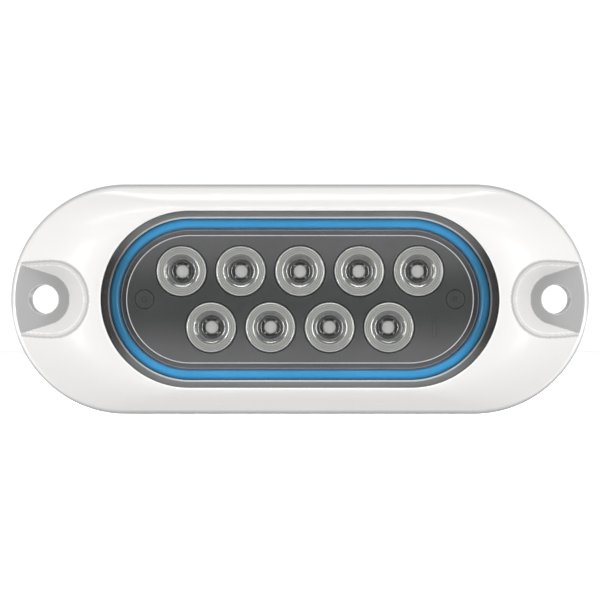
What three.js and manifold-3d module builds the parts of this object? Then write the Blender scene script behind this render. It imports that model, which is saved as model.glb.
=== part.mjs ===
// Surface-mounted underwater pool light: a white domed bezel with two screw ears, a clear window,
// a blue window seal, nine LED optics in a dark panel, and a cable gland that passes through the wall.
//
// Millimetres. X runs along the light, +Z is up, the light shines along -Y, and y = 0 is the wall.
// Every piece is drawn lying face up: x along the light, y up the wall and z out of the wall. The
// group that holds them all then stands them up against the wall.

import * as THREE from "three";
import { mergeVertices } from "three/addons/utils/BufferGeometryUtils.js";
import Module from "manifold-3d";

const wasm = await Module();
wasm.setup();

// ---------------------------------------------------------------- overall
const LENGTH = 160;
const HEIGHT = 63.7;
const DEPTH = 17.5; // from the wall to the edge of the window
const GAP = 0.2; // clearance between fixed pieces that rest on each other
const LAP = 0.5; // how far a cutter runs past the face it opens
const ARC_STEPS = 16; // segments in half a turn of every long outline
const ROUND_STEPS = 20; // segments round a gland part or an optic's hole
const HOLE_STEPS = 16; // segments round a screw head, a post or a can
const PILOT_STEPS = 12; // segments round a screw's shank or its hole

// ---------------------------------------------------------------- mounting gasket and bezel
const MAT_THICKNESS = 1;
const MAT_INSET = 1.5; // from the bezel's outline to the mat's edge
const MAT_HOLE_CLEARANCE = 0.8; // past the ear's own hole
const BACK = MAT_THICKNESS + GAP; // back faces of the bezel and the housing
const SIDE_TOP = 7.5; // where the drafted side wall meets the dome
const SIDE_DRAFT = 2.2; // how far the side wall leans in
const DOME_POWER = 1.6; // 1 is a straight slope, more is a fuller dome
const DOME_STEPS = 7;
const BORDER = 8.25; // outline to window edge, above and below
const END_BORDER = 26.8; // outline to window edge, at the two ends
const WINDOW_ROUND = 0.4; // rounding of the window's edge

const BEZEL_RADIUS = HEIGHT / 2;
const BEZEL_HALF = LENGTH / 2 - BEZEL_RADIUS; // half the straight run of the outline
const WINDOW_RADIUS = BEZEL_RADIUS - BORDER;
const CORE_HALF = LENGTH / 2 - END_BORDER - WINDOW_RADIUS; // half the straight run inside the window

// ---------------------------------------------------------------- screw ears
const EAR_INSET = 10; // from the light's end to the screw's axis
const EAR_X = LENGTH / 2 - EAR_INSET;
const EAR_HOLE_RADIUS = 4;
const EAR_FLOOR = 7; // height of the face under the screw's head
const EAR_FLOOR_RADIUS = 7;
const EAR_SPLAY = THREE.MathUtils.degToRad(17); // each side of the pocket opens outwards
const EAR_SLOPE = Math.tan(THREE.MathUtils.degToRad(31)); // lean of the pocket's wall
const EAR_STEPS = 12;

// ---------------------------------------------------------------- window, seal and housing rim
const LENS_RECESS = 0.8; // window edge to the lens's face
const LENS_THICKNESS = 3.5;
const LENS_FLANGE = 1.7; // thickness of the step that the bezel holds
const LENS_CLEARANCE = 0.3;
const LENS_STEP = 1.3; // how far the step stands out past the lens's face
const LENS_CHAMFER = 0.3;
const SEAL_WIDTH = 2.8;
const SEAL_HEIGHT = 2.7;
const SEAL_SIDES = 10;
const RIM_INSET = 1.7; // window edge to the seal's groove
const RIM_CHAMFER = 0.22;
const RIM_OUTSET = 1.6; // window edge to the housing's outside
const LEDGE_WIDTH = 4; // shelf that carries the seal and the panel's edge

const LENS_TOP = DEPTH - LENS_RECESS;
const LENS_BOTTOM = LENS_TOP - LENS_THICKNESS;
const LENS_SHOULDER = LENS_BOTTOM + LENS_FLANGE;
const LENS_RADIUS = WINDOW_RADIUS - LENS_CLEARANCE;
const LENS_STEP_RADIUS = LENS_RADIUS + LENS_STEP;
const RIM_TOP = LENS_BOTTOM - GAP;
const SEAL_GAP = GAP / 2; // the squeezed seal's clearance to the lens and the ledge
const LEDGE = LENS_BOTTOM - SEAL_HEIGHT - 2 * SEAL_GAP;
const GROOVE_RADIUS = WINDOW_RADIUS - RIM_INSET;
const CAVITY_RADIUS = GROOVE_RADIUS - LEDGE_WIDTH;
const CAVITY_END = CORE_HALF + CAVITY_RADIUS;
const SEAL_RADIUS = GROOVE_RADIUS - SEAL_GAP - SEAL_WIDTH / 2; // centre line of the seal
const BODY_RADIUS = WINDOW_RADIUS + RIM_OUTSET;

// ---------------------------------------------------------------- housing
const FLANGE_THICKNESS = 3;
const FLOOR_THICKNESS = 2.6;
const SKIRT = 2.3; // outline to the housing's flange
const FLOOR = BACK + FLOOR_THICKNESS;
const FLANGE_TOP = BACK + FLANGE_THICKNESS;
const FLANGE_RADIUS = BEZEL_RADIUS - SKIRT;
const SCREW_LINE = (BODY_RADIUS + FLANGE_RADIUS) / 2; // radius that the case screws stand on
const SCREW_SPACING = 22; // the side screws stand this far either way from the middle
const CASE_SCREW = { head: 1.75, headHeight: 1.3, shank: 1, length: 7.7, key: 0.65 };
const PANEL_POST_RADIUS = 2.6;

// ---------------------------------------------------------------- optic panel and LEDs
const PANEL_EDGE = 4.55; // groove to the edge of the panel's face
const PANEL_FLANGE = 0.8;
const PANEL_THICKNESS = 1.5;
const PANEL_BEVEL = 0.3;
const PANEL_SCREW_INSET = 4.95; // end of the panel's face to its screw
const PANEL_SCREW = { head: 2.45, headHeight: 0.85, shank: 0.95, length: 5, key: 0.9 };
const PANEL_KEY = { width: 1.1, height: 5.4, rise: 0.15, inset: 10.75 };
const OPTIC_RADIUS = 6.7;
const OPTIC_CLEARANCE = 0.25;
const OPTIC_RISE = 0.3; // optics stand this far proud of the panel
const OPTIC_FOOT_RADIUS = 3.6;
const OPTIC_FLANGE = 1.2;
const OPTIC_LIP = 0.7; // how far the flange stands out past the cone
const OPTIC_BULGE = 0.6; // 0.5 is a straight cone, more is a fuller one
const OPTIC_DISH = 0.69; // share of the radius that is dished in front
const OPTIC_DISH_DEPTH = 1;
const OPTIC_DISH_CROWN = 0.4; // how far the dish's middle rises again
const OPTIC_DISH_DRAFT = 0.3;
const OPTIC_HOLLOW_DRAFT = 0.4;
const OPTIC_SPACE = 2.6; // rim to rim along a row
const ROW_SPACE = 1.8; // rim to rim from row to row, measured straight up
const PITCH = 2 * OPTIC_RADIUS + OPTIC_SPACE;
const ROW = OPTIC_RADIUS + ROW_SPACE / 2; // height of each row above and below the middle
const TOP_ROW = [-2, -1, 0, 1, 2];
const BOTTOM_ROW = [-1.5, -0.5, 0.5, 1.5];
const LED_SIZE = 3.6;
const LED_HEIGHT = 0.8;
const LED_DOME_RADIUS = 1.5;
const LED_DOME_STEPS = 3;

const PANEL_RADIUS = GROOVE_RADIUS - PANEL_EDGE;
const PANEL_END = CORE_HALF + PANEL_RADIUS;
const PANEL_BOTTOM = LEDGE + GAP;
const PANEL_TOP = PANEL_BOTTOM + PANEL_THICKNESS;
const PANEL_FLANGE_RADIUS = SEAL_RADIUS - SEAL_WIDTH / 2 - GAP;
const PANEL_SCREW_X = PANEL_END - PANEL_SCREW_INSET;
const OPTIC_TOP = PANEL_TOP + OPTIC_RISE;
const OPTIC_SPOTS = [...TOP_ROW.map((n) => [n * PITCH, ROW]), ...BOTTOM_ROW.map((n) => [n * PITCH, -ROW])];

// ---------------------------------------------------------------- boards
const PAD_THICKNESS = 0.3;
const PAD_INSET = 1;
const LED_BOARD_THICKNESS = 1.5;
const LED_BOARD_MARGIN = 4.5; // past the last LED of the top row
const LED_BOARD_SIDE = 7.9; // past the rows
const DRIVER_BOARD_THICKNESS = 1.2;
const DRIVER_BOARD_DEPTH = 10.4; // from the cavity's end to the board's straight edge
const DRIVER_BOARD_CLEARANCE = 0.4;
const POST_CLEARANCE = 0.4;
const BOARD_SCREW = { head: 1.9, headHeight: 1.2, shank: 0.8, length: 3.8, key: 0.6 };
const BOARD_SCREW_SPOTS = [[1.5, ROW], [-1.5, ROW], [1, -ROW], [-1, -ROW]].map(([n, y]) => [n * PITCH, y]);

const PAD_BOTTOM = FLOOR + GAP;
const PAD_TOP = PAD_BOTTOM + PAD_THICKNESS;
const BOARD_BOTTOM = PAD_TOP + GAP;
const LED_BOARD_TOP = BOARD_BOTTOM + LED_BOARD_THICKNESS;
const LED_BOARD_X = TOP_ROW.at(-1) * PITCH + LED_BOARD_MARGIN;
const LED_BOARD_Y = ROW + LED_BOARD_SIDE;
const DRIVER_BOARD_TOP = BOARD_BOTTOM + DRIVER_BOARD_THICKNESS;
const DRIVER_EDGE = CAVITY_END - DRIVER_BOARD_DEPTH;

// Each of these stands this far in from the cavity's end and this far up from the middle, and its
// headroom is the space left between it and the optic panel.
const INDUCTOR = { inset: 7.2, y: 7.4, size: 5.4, headroom: 1.2, well: 1.9, wellDepth: 0.4 };
const INPUT_CAPACITOR = { inset: 6.9, y: -6.4, radius: 2.4, headroom: 0.6, bevel: 0.3 };
const OUTPUT_CAPACITOR = { inset: 7.9, y: -11.6, radius: 2, headroom: 1.2, bevel: 0.3 };
const DRIVER_CHIP = { inset: 8.6, y: 12.2, width: 3, length: 2.6, height: 1 };
const LINK = { width: 3, height: 0.8, onDriver: 1.7, onBoard: 1.5 };
const TERMINAL = { inset: 7.5, y: 7.6, width: 5, length: 6.4, headroom: 0.7, pole: 1.6, mouth: 0.8 };
const TERMINAL_WELL = { radius: 1.1, depth: 2 };
const TERMINAL_MOUTH_HEIGHT = 1.93;
const LEAD = { radius: 0.6, wall: 0.6, halfSides: 4, steps: 24, first: 0.9, second: 2.5 };
const LEAD_START = [[-1.2, 0], [-1.6, 1.6]]; // from the terminal block's middle and edge
const LEAD_BEND = { x: -4, off: 0.6 }; // where the lead comes up to the cavity's wall
const LEAD_TAIL = [5, 8.6]; // how far past the straight wall the lead's end follows the curve

// ---------------------------------------------------------------- cable gland
const GLAND_INSET = 8.45; // end of the panel's face to the gland's axis
const GLAND_X = PANEL_END - GLAND_INSET;
const GLAND_Y = -ROW;
const GLAND_BORE = 3.3; // a 6.5 mm cord passes
const GLAND_INNER_WALL = 1.6; // bore to the thread that screws into the housing
const GLAND_THREAD_FIT = 0.1;
const GLAND_BOSS_WALL = 1.2;
const GLAND_BOSS_HEIGHT = 3.2;
const GLAND_SEAT_WALL = 1.4; // bore to the seat of the rubber seal
const GLAND_SEAT_DEPTH = 4.5;
const GLAND_SEAL_CLEARANCE = 0.15;
const GLAND_SEAL_PROUD = 0.6;
const GLAND_OUTER_WALL = 1.7; // seat to the nut's thread
const GLAND_OUTER_LENGTH = 7;
const GLAND_RUNNING_FIT = 0.15; // the nut turns freely on its thread
const GLAND_HEX_STEP = 1.1; // how far the hexagon's flats stand out past the nut's thread
const GLAND_HEX_HEIGHT = 4;
const GLAND_HEX_TOP = -0.1; // the hexagon's face against the O-ring
const ORING_SIDES = 8;
const GLAND_ORING_HALF = 0.6; // half the O-ring's width
const GLAND_ORING_STEP = 0.8; // thread to the O-ring
const GLAND_RING_THICKNESS = 0.8;
const GLAND_RING_CLEARANCE = 0.4; // inside the nut's thread
const GLAND_NUT_WALL = 1.6;
const GLAND_NUT_CAP = 1.7; // thickness of the nut's closed end
const GLAND_NUT_START = 0.7; // nut to hexagon when it is tight
const GLAND_WALL_CLEARANCE = 1.26; // the nut's corners to the gasket's hole

const GLAND_INNER_THREAD = GLAND_BORE + GLAND_INNER_WALL;
const GLAND_SEAT_RADIUS = GLAND_BORE + GLAND_SEAT_WALL;
const GLAND_OUTER_THREAD = GLAND_SEAT_RADIUS + GLAND_OUTER_WALL;
const GLAND_BOSS_RADIUS = GLAND_INNER_THREAD + GLAND_THREAD_FIT + GLAND_BOSS_WALL;
const GLAND_INNER_TOP = FLOOR + GLAND_BOSS_HEIGHT - GAP;
const GLAND_HEX_BACK = GLAND_HEX_TOP - GLAND_HEX_HEIGHT;
const GLAND_HEX_FLATS = 2 * (GLAND_OUTER_THREAD + GLAND_HEX_STEP);
const GLAND_NUT_FLATS = 2 * (GLAND_OUTER_THREAD + GLAND_NUT_WALL);
const GLAND_ORING_RADIUS = GLAND_INNER_THREAD + GLAND_ORING_STEP + GLAND_ORING_HALF;
const GLAND_END = GLAND_HEX_BACK - GLAND_OUTER_LENGTH;
const GLAND_RING_TOP = GLAND_END - GLAND_SEAL_PROUD - GAP;
const GLAND_RING_BOTTOM = GLAND_RING_TOP - GLAND_RING_THICKNESS;

const material = (color, roughness, metalness = 0, extra = {}) =>
  new THREE.MeshStandardMaterial({ color, roughness, metalness, ...extra });

const FINISH = {
  shell: material(0xf2f0ed, 0.18),
  clear: material(0xdfe8ea, 0.05, 0, { transparent: true, opacity: 0.3 }),
  seal: material(0x2f8fd0, 0.4),
  panel: material(0x4c4d4f, 0.5),
  housing: material(0x3f4143, 0.45, 0.6),
  rubber: material(0x1d1e20, 0.85),
  board: material(0xe6e7e4, 0.5),
  driver: material(0x1f5a3a, 0.5),
  led: material(0xf1e7a6, 0.3),
  pad: material(0x8c9098, 0.8),
  steel: material(0xb8babc, 0.3, 1),
  chip: material(0x17181a, 0.5),
  capacitor: material(0x8f9aa6, 0.35, 0.8),
  ferrite: material(0x35322f, 0.7),
  brass: material(0xb9975a, 0.35, 1),
  nylon: material(0x26272a, 0.55),
  terminal: material(0x2d7d54, 0.5),
  red: material(0xb3261e, 0.5),
  black: material(0x18181a, 0.5),
};

// ================================================================ shape helpers

// A closed geometry as a manifold-3d solid.
function solid(geometry) {
  const loose = geometry.index ? geometry.toNonIndexed() : geometry;
  const bare = new THREE.BufferGeometry().setAttribute("position", loose.getAttribute("position"));
  const merged = mergeVertices(bare, 1e-4);
  const vertProperties = merged.attributes.position.array;
  const triVerts = new Uint32Array(merged.index.array);
  return new wasm.Manifold(new wasm.Mesh({ numProp: 3, vertProperties, triVerts }));
}

// A manifold-3d solid as a geometry with flat faces.
function geometryOf(body) {
  const mesh = body.getMesh();
  const geometry = new THREE.BufferGeometry();
  geometry.setAttribute("position", new THREE.BufferAttribute(new Float32Array(mesh.vertProperties), 3));
  geometry.setIndex(new THREE.BufferAttribute(new Uint32Array(mesh.triVerts), 1));
  const faceted = geometry.toNonIndexed();
  faceted.computeVertexNormals();
  return faceted;
}

// A mesh from a geometry or a manifold-3d solid.
function piece(name, shape, finish) {
  const geometry = shape.isBufferGeometry ? shape : geometryOf(shape);
  const mesh = new THREE.Mesh(geometry, finish);
  mesh.name = name;
  return mesh;
}

// An outline with two straight sides and two round ends, counter-clockwise.
function stadium(half, radius) {
  const points = [];
  for (const [centre, start] of [[half, -Math.PI / 2], [-half, Math.PI / 2]]) {
    for (let i = 0; i <= ARC_STEPS; i++) {
      const angle = start + (Math.PI * i) / ARC_STEPS;
      points.push([centre + radius * Math.cos(angle), radius * Math.sin(angle)]);
    }
  }
  return points;
}

// A skin over a stack of outlines, each [points, z] with the same number of points. A closed stack
// joins its last outline to its first; an open one is capped at both ends.
function loft(levels, closed = false) {
  const count = levels[0][0].length;
  const corners = levels.flatMap(([points, z]) => points.map(([x, y]) => [x, y, z]));
  const triangles = [];
  const bands = closed ? levels.length : levels.length - 1;
  for (let band = 0; band < bands; band++) {
    const low = band * count;
    const high = ((band + 1) % levels.length) * count;
    for (let i = 0; i < count; i++) {
      const next = (i + 1) % count;
      triangles.push([low + i, low + next, high + next], [low + i, high + next, high + i]);
    }
  }
  const top = (levels.length - 1) * count;
  for (let i = 1; !closed && i < count - 1; i++) {
    triangles.push([0, i + 1, i], [top, top + i, top + i + 1]);
  }
  const geometry = new THREE.BufferGeometry();
  geometry.setAttribute("position", new THREE.Float32BufferAttribute(corners.flat(), 3));
  geometry.setIndex(triangles.flat());
  return geometry;
}

// A stadium-shaped body from a profile of [radius, z] steps.
const stadiumBody = (profile, closed = false) =>
  loft(profile.map(([radius, z]) => [stadium(CORE_HALF, radius), z]), closed);

// A round body about its own z axis, from a profile of [radius, z] corners that ends where it began
// or starts and ends on the axis.
function turned(profile, x = 0, y = 0, steps = ROUND_STEPS) {
  const onAxis = profile[0][0] === 0 && profile.at(-1)[0] === 0;
  const corners = onAxis ? profile : [...profile, profile[0]];
  const points = corners.map(([radius, z]) => new THREE.Vector2(radius, z));
  return new THREE.LatheGeometry(points, steps).rotateX(Math.PI / 2).translate(x, y, 0);
}

const rod = (radius, low, high, x = 0, y = 0, steps = ROUND_STEPS) =>
  turned([[0, low], [radius, low], [radius, high], [0, high]], x, y, steps);

const tube = (inner, outer, low, high, steps = ROUND_STEPS) =>
  turned([[inner, low], [outer, low], [outer, high], [inner, high]], 0, 0, steps);

function box(width, height, low, high, x = 0, y = 0) {
  return new THREE.BoxGeometry(width, height, high - low).translate(x, y, (low + high) / 2);
}

// A hexagonal bar with its corners chamfered at both ends.
function hexagon(flats, low, high) {
  const corner = flats / Math.sqrt(3);
  const bar = solid(rod(corner, low, high, 0, 0, 6));
  const bevel = corner - flats / 2;
  const crown = [
    [0, low], [flats / 2, low], [corner, low + bevel],
    [corner, high - bevel], [flats / 2, high], [0, high],
  ];
  return bar.intersect(solid(turned(crown)));
}

// A screw whose head's underside is at z = 0 and whose shank points along -z. The hexagonal key
// hole goes halfway into the head.
function screw(name, size, finish) {
  const outline = [
    [0, -size.length], [size.shank, -size.length], [size.shank, 0],
    [size.head, 0], [size.head, size.headHeight], [0, size.headHeight],
  ];
  const key = rod(size.key, size.headHeight / 2, size.headHeight + LAP, 0, 0, 6);
  return piece(name, solid(turned(outline, 0, 0, PILOT_STEPS)).subtract(solid(key)), finish);
}

const cutAll = (body, cutters) => cutters.reduce((rest, cutter) => rest.subtract(solid(cutter)), body);
const joinAll = (body, extras) => extras.reduce((sum, extra) => sum.add(solid(extra)), body);

// ================================================================ bezel, lens and window seal

// The domed outside: a drafted side wall, then a dome that flattens towards the window's edge.
function domeLevels() {
  const side = BEZEL_RADIUS - SIDE_DRAFT;
  const edge = WINDOW_RADIUS + WINDOW_ROUND;
  const levels = [[stadium(BEZEL_HALF, BEZEL_RADIUS), BACK]];
  for (let i = 0; i <= DOME_STEPS; i++) {
    const inward = 1 - (1 - i / DOME_STEPS) ** 2;
    const half = THREE.MathUtils.lerp(BEZEL_HALF, CORE_HALF, inward);
    const radius = THREE.MathUtils.lerp(side, edge, inward);
    const rise = (DEPTH - SIDE_TOP) * (1 - (1 - inward) ** DOME_POWER);
    levels.push([stadium(half, radius), SIDE_TOP + rise]);
  }
  return levels;
}

// The pocket above an ear's screw: a round end about the screw and two sides that splay outwards.
function pocketOutline(side, reach) {
  const turn = Math.PI / 2 + EAR_SPLAY;
  const beyond = LENGTH / 2 + reach - EAR_X;
  const lineStart = [reach * Math.cos(turn), reach * Math.sin(turn)];
  const far = lineStart[1] + (beyond - lineStart[0]) * Math.tan(EAR_SPLAY);
  const outline = [[beyond, far]];
  for (let i = 0; i <= EAR_STEPS; i++) {
    const angle = turn + ((2 * Math.PI - 2 * turn) * i) / EAR_STEPS;
    outline.push([reach * Math.cos(angle), reach * Math.sin(angle)]);
  }
  outline.push([beyond, -far]);
  const placed = outline.map(([x, y]) => [side * (EAR_X + x), y]);
  return side > 0 ? placed : placed.reverse();
}

function earPocket(side) {
  const top = DEPTH + LAP;
  const mouth = EAR_FLOOR_RADIUS + (top - EAR_FLOOR) * EAR_SLOPE;
  return loft([
    [pocketOutline(side, EAR_FLOOR_RADIUS), EAR_FLOOR],
    [pocketOutline(side, mouth), top],
  ]);
}

// The stepped opening through the bezel, from the housing's flange at the back to the window's edge.
function windowOpening() {
  const shoulder = LENS_SHOULDER + GAP;
  const body = RIM_TOP + GAP;
  const flange = FLANGE_TOP + GAP;
  const round = (1 - Math.SQRT1_2) * WINDOW_ROUND;
  return stadiumBody([
    [FLANGE_RADIUS + GAP, BACK - LAP],
    [FLANGE_RADIUS + GAP, flange],
    [BODY_RADIUS + GAP, flange],
    [BODY_RADIUS + GAP, body],
    [LENS_STEP_RADIUS + GAP, body],
    [LENS_STEP_RADIUS + GAP, shoulder],
    [WINDOW_RADIUS, shoulder],
    [WINDOW_RADIUS, DEPTH - WINDOW_ROUND],
    [WINDOW_RADIUS + round, DEPTH - round],
    [WINDOW_RADIUS + WINDOW_ROUND, DEPTH],
    [WINDOW_RADIUS + WINDOW_ROUND, DEPTH + LAP],
  ]);
}

// Where the six case screws stand: two on each long side and one at each end.
function caseScrewSpots() {
  const spots = [];
  for (const side of [-1, 1]) {
    spots.push([side * SCREW_SPACING, SCREW_LINE], [side * SCREW_SPACING, -SCREW_LINE]);
    spots.push([side * (CORE_HALF + SCREW_LINE), 0]);
  }
  return spots;
}

function bezel() {
  const pilot = CASE_SCREW.shank + GAP / 2;
  const pilotTop = BACK + CASE_SCREW.headHeight + CASE_SCREW.length + LAP;
  const cutters = [windowOpening()];
  for (const side of [-1, 1]) {
    cutters.push(earPocket(side), rod(EAR_HOLE_RADIUS, BACK - LAP, EAR_FLOOR + LAP, side * EAR_X, 0));
  }
  for (const [x, y] of caseScrewSpots()) cutters.push(rod(pilot, BACK, pilotTop, x, y, PILOT_STEPS));
  return piece("bezel", cutAll(solid(loft(domeLevels())), cutters), FINISH.shell);
}

function lens() {
  const shape = stadiumBody([
    [LENS_STEP_RADIUS, LENS_BOTTOM],
    [LENS_STEP_RADIUS, LENS_SHOULDER],
    [LENS_RADIUS, LENS_SHOULDER],
    [LENS_RADIUS, LENS_TOP - LENS_CHAMFER],
    [LENS_RADIUS - LENS_CHAMFER, LENS_TOP],
  ]);
  return piece("lens", shape, FINISH.clear);
}

function windowSeal() {
  const section = [];
  for (let i = 0; i < SEAL_SIDES; i++) {
    const angle = (2 * Math.PI * i) / SEAL_SIDES;
    const across = (SEAL_WIDTH / 2) * Math.cos(angle);
    const up = (SEAL_HEIGHT / 2) * Math.sin(angle);
    section.push([SEAL_RADIUS + across, LEDGE + SEAL_GAP + SEAL_HEIGHT / 2 + up]);
  }
  return piece("window_seal", stadiumBody(section, true), FINISH.seal);
}

// ================================================================ housing

function housing() {
  const shell = stadiumBody([
    [FLANGE_RADIUS, BACK],
    [FLANGE_RADIUS, FLANGE_TOP],
    [BODY_RADIUS, FLANGE_TOP],
    [BODY_RADIUS, RIM_TOP],
    [GROOVE_RADIUS + RIM_CHAMFER, RIM_TOP],
    [GROOVE_RADIUS, RIM_TOP - RIM_CHAMFER],
    [GROOVE_RADIUS, LEDGE],
    [CAVITY_RADIUS, LEDGE],
    [CAVITY_RADIUS, FLOOR],
  ]);
  const root = FLOOR - LAP;
  const bosses = [rod(GLAND_BOSS_RADIUS, root, FLOOR + GLAND_BOSS_HEIGHT, GLAND_X, GLAND_Y)];
  const holes = [];
  const bossTop = FLOOR + GLAND_BOSS_HEIGHT;
  holes.push(rod(GLAND_INNER_THREAD + GLAND_THREAD_FIT, BACK - LAP, bossTop + LAP, GLAND_X, GLAND_Y));
  for (const side of [-1, 1]) {
    bosses.push(rod(PANEL_POST_RADIUS, root, LEDGE, side * PANEL_SCREW_X, 0, HOLE_STEPS));
    const pilot = PANEL_SCREW.shank + GAP / 2;
    holes.push(rod(pilot, FLOOR + GAP, LEDGE + LAP, side * PANEL_SCREW_X, 0, PILOT_STEPS));
  }
  for (const [x, y] of caseScrewSpots()) {
    holes.push(rod(CASE_SCREW.shank + GAP, BACK - LAP, FLANGE_TOP + LAP, x, y, HOLE_STEPS));
    holes.push(rod(CASE_SCREW.head + GAP, BACK - LAP, BACK + CASE_SCREW.headHeight, x, y, HOLE_STEPS));
  }
  const boardHoleBottom = LED_BOARD_TOP - BOARD_SCREW.length + GAP - LAP;
  for (const [x, y] of BOARD_SCREW_SPOTS) {
    holes.push(rod(BOARD_SCREW.shank + GAP / 2, boardHoleBottom, FLOOR + LAP, x, y, PILOT_STEPS));
  }
  return piece("housing", cutAll(joinAll(solid(shell), bosses), holes), FINISH.housing);
}

// The heads face the wall, so each screw is turned over.
function caseScrews() {
  return caseScrewSpots().map(([x, y], i) => {
    const mesh = screw("case_screw_" + (i + 1), CASE_SCREW, FINISH.steel);
    mesh.rotation.x = Math.PI;
    mesh.position.set(x, y, BACK + CASE_SCREW.headHeight - GAP / 2);
    return mesh;
  });
}

function mountingMat() {
  const outline = stadium(BEZEL_HALF, BEZEL_RADIUS - MAT_INSET);
  const sheet = solid(loft([[outline, 0], [outline, MAT_THICKNESS]]));
  const low = -LAP;
  const high = MAT_THICKNESS + LAP;
  const glandHole = GLAND_NUT_FLATS / Math.sqrt(3) + GLAND_WALL_CLEARANCE;
  const earHole = EAR_HOLE_RADIUS + MAT_HOLE_CLEARANCE;
  const cutters = [rod(glandHole, low, high, GLAND_X, GLAND_Y)];
  for (const side of [-1, 1]) cutters.push(rod(earHole, low, high, side * EAR_X, 0, HOLE_STEPS));
  for (const [x, y] of caseScrewSpots()) {
    cutters.push(rod(CASE_SCREW.head + GAP, low, high, x, y, PILOT_STEPS));
  }
  return piece("mounting_gasket", cutAll(sheet, cutters), FINISH.rubber);
}

// ================================================================ optic panel, optics and LEDs

function opticPanel() {
  const flangeTop = PANEL_BOTTOM + PANEL_FLANGE;
  const plate = solid(stadiumBody([
    [PANEL_FLANGE_RADIUS, PANEL_BOTTOM],
    [PANEL_FLANGE_RADIUS, flangeTop],
    [PANEL_RADIUS, flangeTop],
    [PANEL_RADIUS, PANEL_TOP - PANEL_BEVEL],
    [PANEL_RADIUS - PANEL_BEVEL, PANEL_TOP],
  ]));
  const keyX = PANEL_END - PANEL_KEY.inset;
  const keyTop = PANEL_TOP + PANEL_KEY.rise;
  const key = box(PANEL_KEY.width, PANEL_KEY.height, PANEL_BOTTOM + GAP, keyTop, keyX, -ROW);
  const cutters = OPTIC_SPOTS.map(([x, y]) =>
    rod(OPTIC_RADIUS + OPTIC_CLEARANCE, PANEL_BOTTOM - LAP, PANEL_TOP + LAP, x, y));
  for (const side of [-1, 1]) {
    const x = side * PANEL_SCREW_X;
    cutters.push(rod(PANEL_SCREW.shank + GAP, PANEL_BOTTOM - LAP, PANEL_TOP + LAP, x, 0, HOLE_STEPS));
    const seat = PANEL_TOP - PANEL_SCREW.headHeight - GAP;
    cutters.push(rod(PANEL_SCREW.head + GAP, seat, PANEL_TOP + LAP, x, 0));
  }
  return piece("optic_panel", cutAll(plate.add(solid(key)), cutters), FINISH.panel);
}

function panelScrews() {
  return [["left", -1], ["right", 1]].map(([word, side]) => {
    const mesh = screw("panel_screw_" + word, PANEL_SCREW, FINISH.panel);
    mesh.position.set(side * PANEL_SCREW_X, 0, PANEL_TOP - PANEL_SCREW.headHeight - GAP / 2);
    return mesh;
  });
}

// A collimator lens: a cone that widens to a rim, hollow below for the LED and dished in front.
function optic(name, x, y) {
  const foot = LED_BOARD_TOP + GAP;
  const flangeLow = OPTIC_TOP - OPTIC_FLANGE;
  const middle = (foot + flangeLow) / 2;
  const hollowRadius = LED_SIZE / Math.SQRT2 + GAP;
  const hollowTop = LED_BOARD_TOP + GAP + LED_HEIGHT + LED_DOME_RADIUS + GAP;
  const dishRadius = OPTIC_DISH * OPTIC_RADIUS;
  const dishFloor = OPTIC_TOP - OPTIC_DISH_DEPTH;
  const coneTop = OPTIC_RADIUS - OPTIC_LIP;
  const shape = turned([
    [0, hollowTop],
    [hollowRadius - OPTIC_HOLLOW_DRAFT, hollowTop],
    [hollowRadius, foot],
    [OPTIC_FOOT_RADIUS, foot],
    [THREE.MathUtils.lerp(OPTIC_FOOT_RADIUS, coneTop, OPTIC_BULGE), middle],
    [coneTop, flangeLow],
    [OPTIC_RADIUS, flangeLow],
    [OPTIC_RADIUS, OPTIC_TOP],
    [dishRadius, OPTIC_TOP],
    [dishRadius - OPTIC_DISH_DRAFT, dishFloor],
    [0, dishFloor + OPTIC_DISH_CROWN],
  ], 0, 0, HOLE_STEPS);
  const mesh = piece(name, shape, FINISH.clear);
  mesh.position.set(x, y, 0);
  return mesh;
}

// An LED: a square ceramic base with a round dome on it.
function led(name, x, y) {
  const low = LED_BOARD_TOP + GAP;
  const top = low + LED_HEIGHT;
  const dome = [[0, top - GAP], [LED_DOME_RADIUS, top - GAP]];
  for (let i = 0; i < LED_DOME_STEPS; i++) {
    const angle = (Math.PI / 2) * (i / LED_DOME_STEPS);
    dome.push([LED_DOME_RADIUS * Math.cos(angle), top + LED_DOME_RADIUS * Math.sin(angle)]);
  }
  dome.push([0, top + LED_DOME_RADIUS]);
  const body = joinAll(solid(box(LED_SIZE, LED_SIZE, low, top)), [turned(dome, 0, 0, PILOT_STEPS)]);
  const mesh = piece(name, body, FINISH.led);
  mesh.position.set(x, y, 0);
  return mesh;
}

// ================================================================ boards and wiring

function boardSheet(low, high, inset, screwFit) {
  const sheet = solid(box(2 * (LED_BOARD_X - inset), 2 * (LED_BOARD_Y - inset), low, high));
  const bossHole = rod(GLAND_BOSS_RADIUS + POST_CLEARANCE + inset, low - LAP, high + LAP, GLAND_X, GLAND_Y);
  const holes = BOARD_SCREW_SPOTS.map(([x, y]) =>
    rod(BOARD_SCREW.shank + screwFit, low - LAP, high + LAP, x, y, PILOT_STEPS));
  return cutAll(sheet, [bossHole, ...holes]);
}

function driverSheet(low, high, inset) {
  const radius = CAVITY_RADIUS - DRIVER_BOARD_CLEARANCE - inset;
  const chord = DRIVER_EDGE + inset;
  const sweep = Math.acos((chord - CORE_HALF) / radius);
  const shape = new THREE.Shape();
  shape.absarc(-CORE_HALF, 0, radius, Math.PI - sweep, Math.PI + sweep);
  const options = { depth: high - low, bevelEnabled: false, curveSegments: ARC_STEPS / 2 };
  const plate = new THREE.ExtrudeGeometry(shape, options);
  const hole = rod(PANEL_POST_RADIUS + POST_CLEARANCE, low - LAP, high + LAP, -PANEL_SCREW_X, 0, HOLE_STEPS);
  return cutAll(solid(plate.translate(0, 0, low)), [hole]);
}

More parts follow.
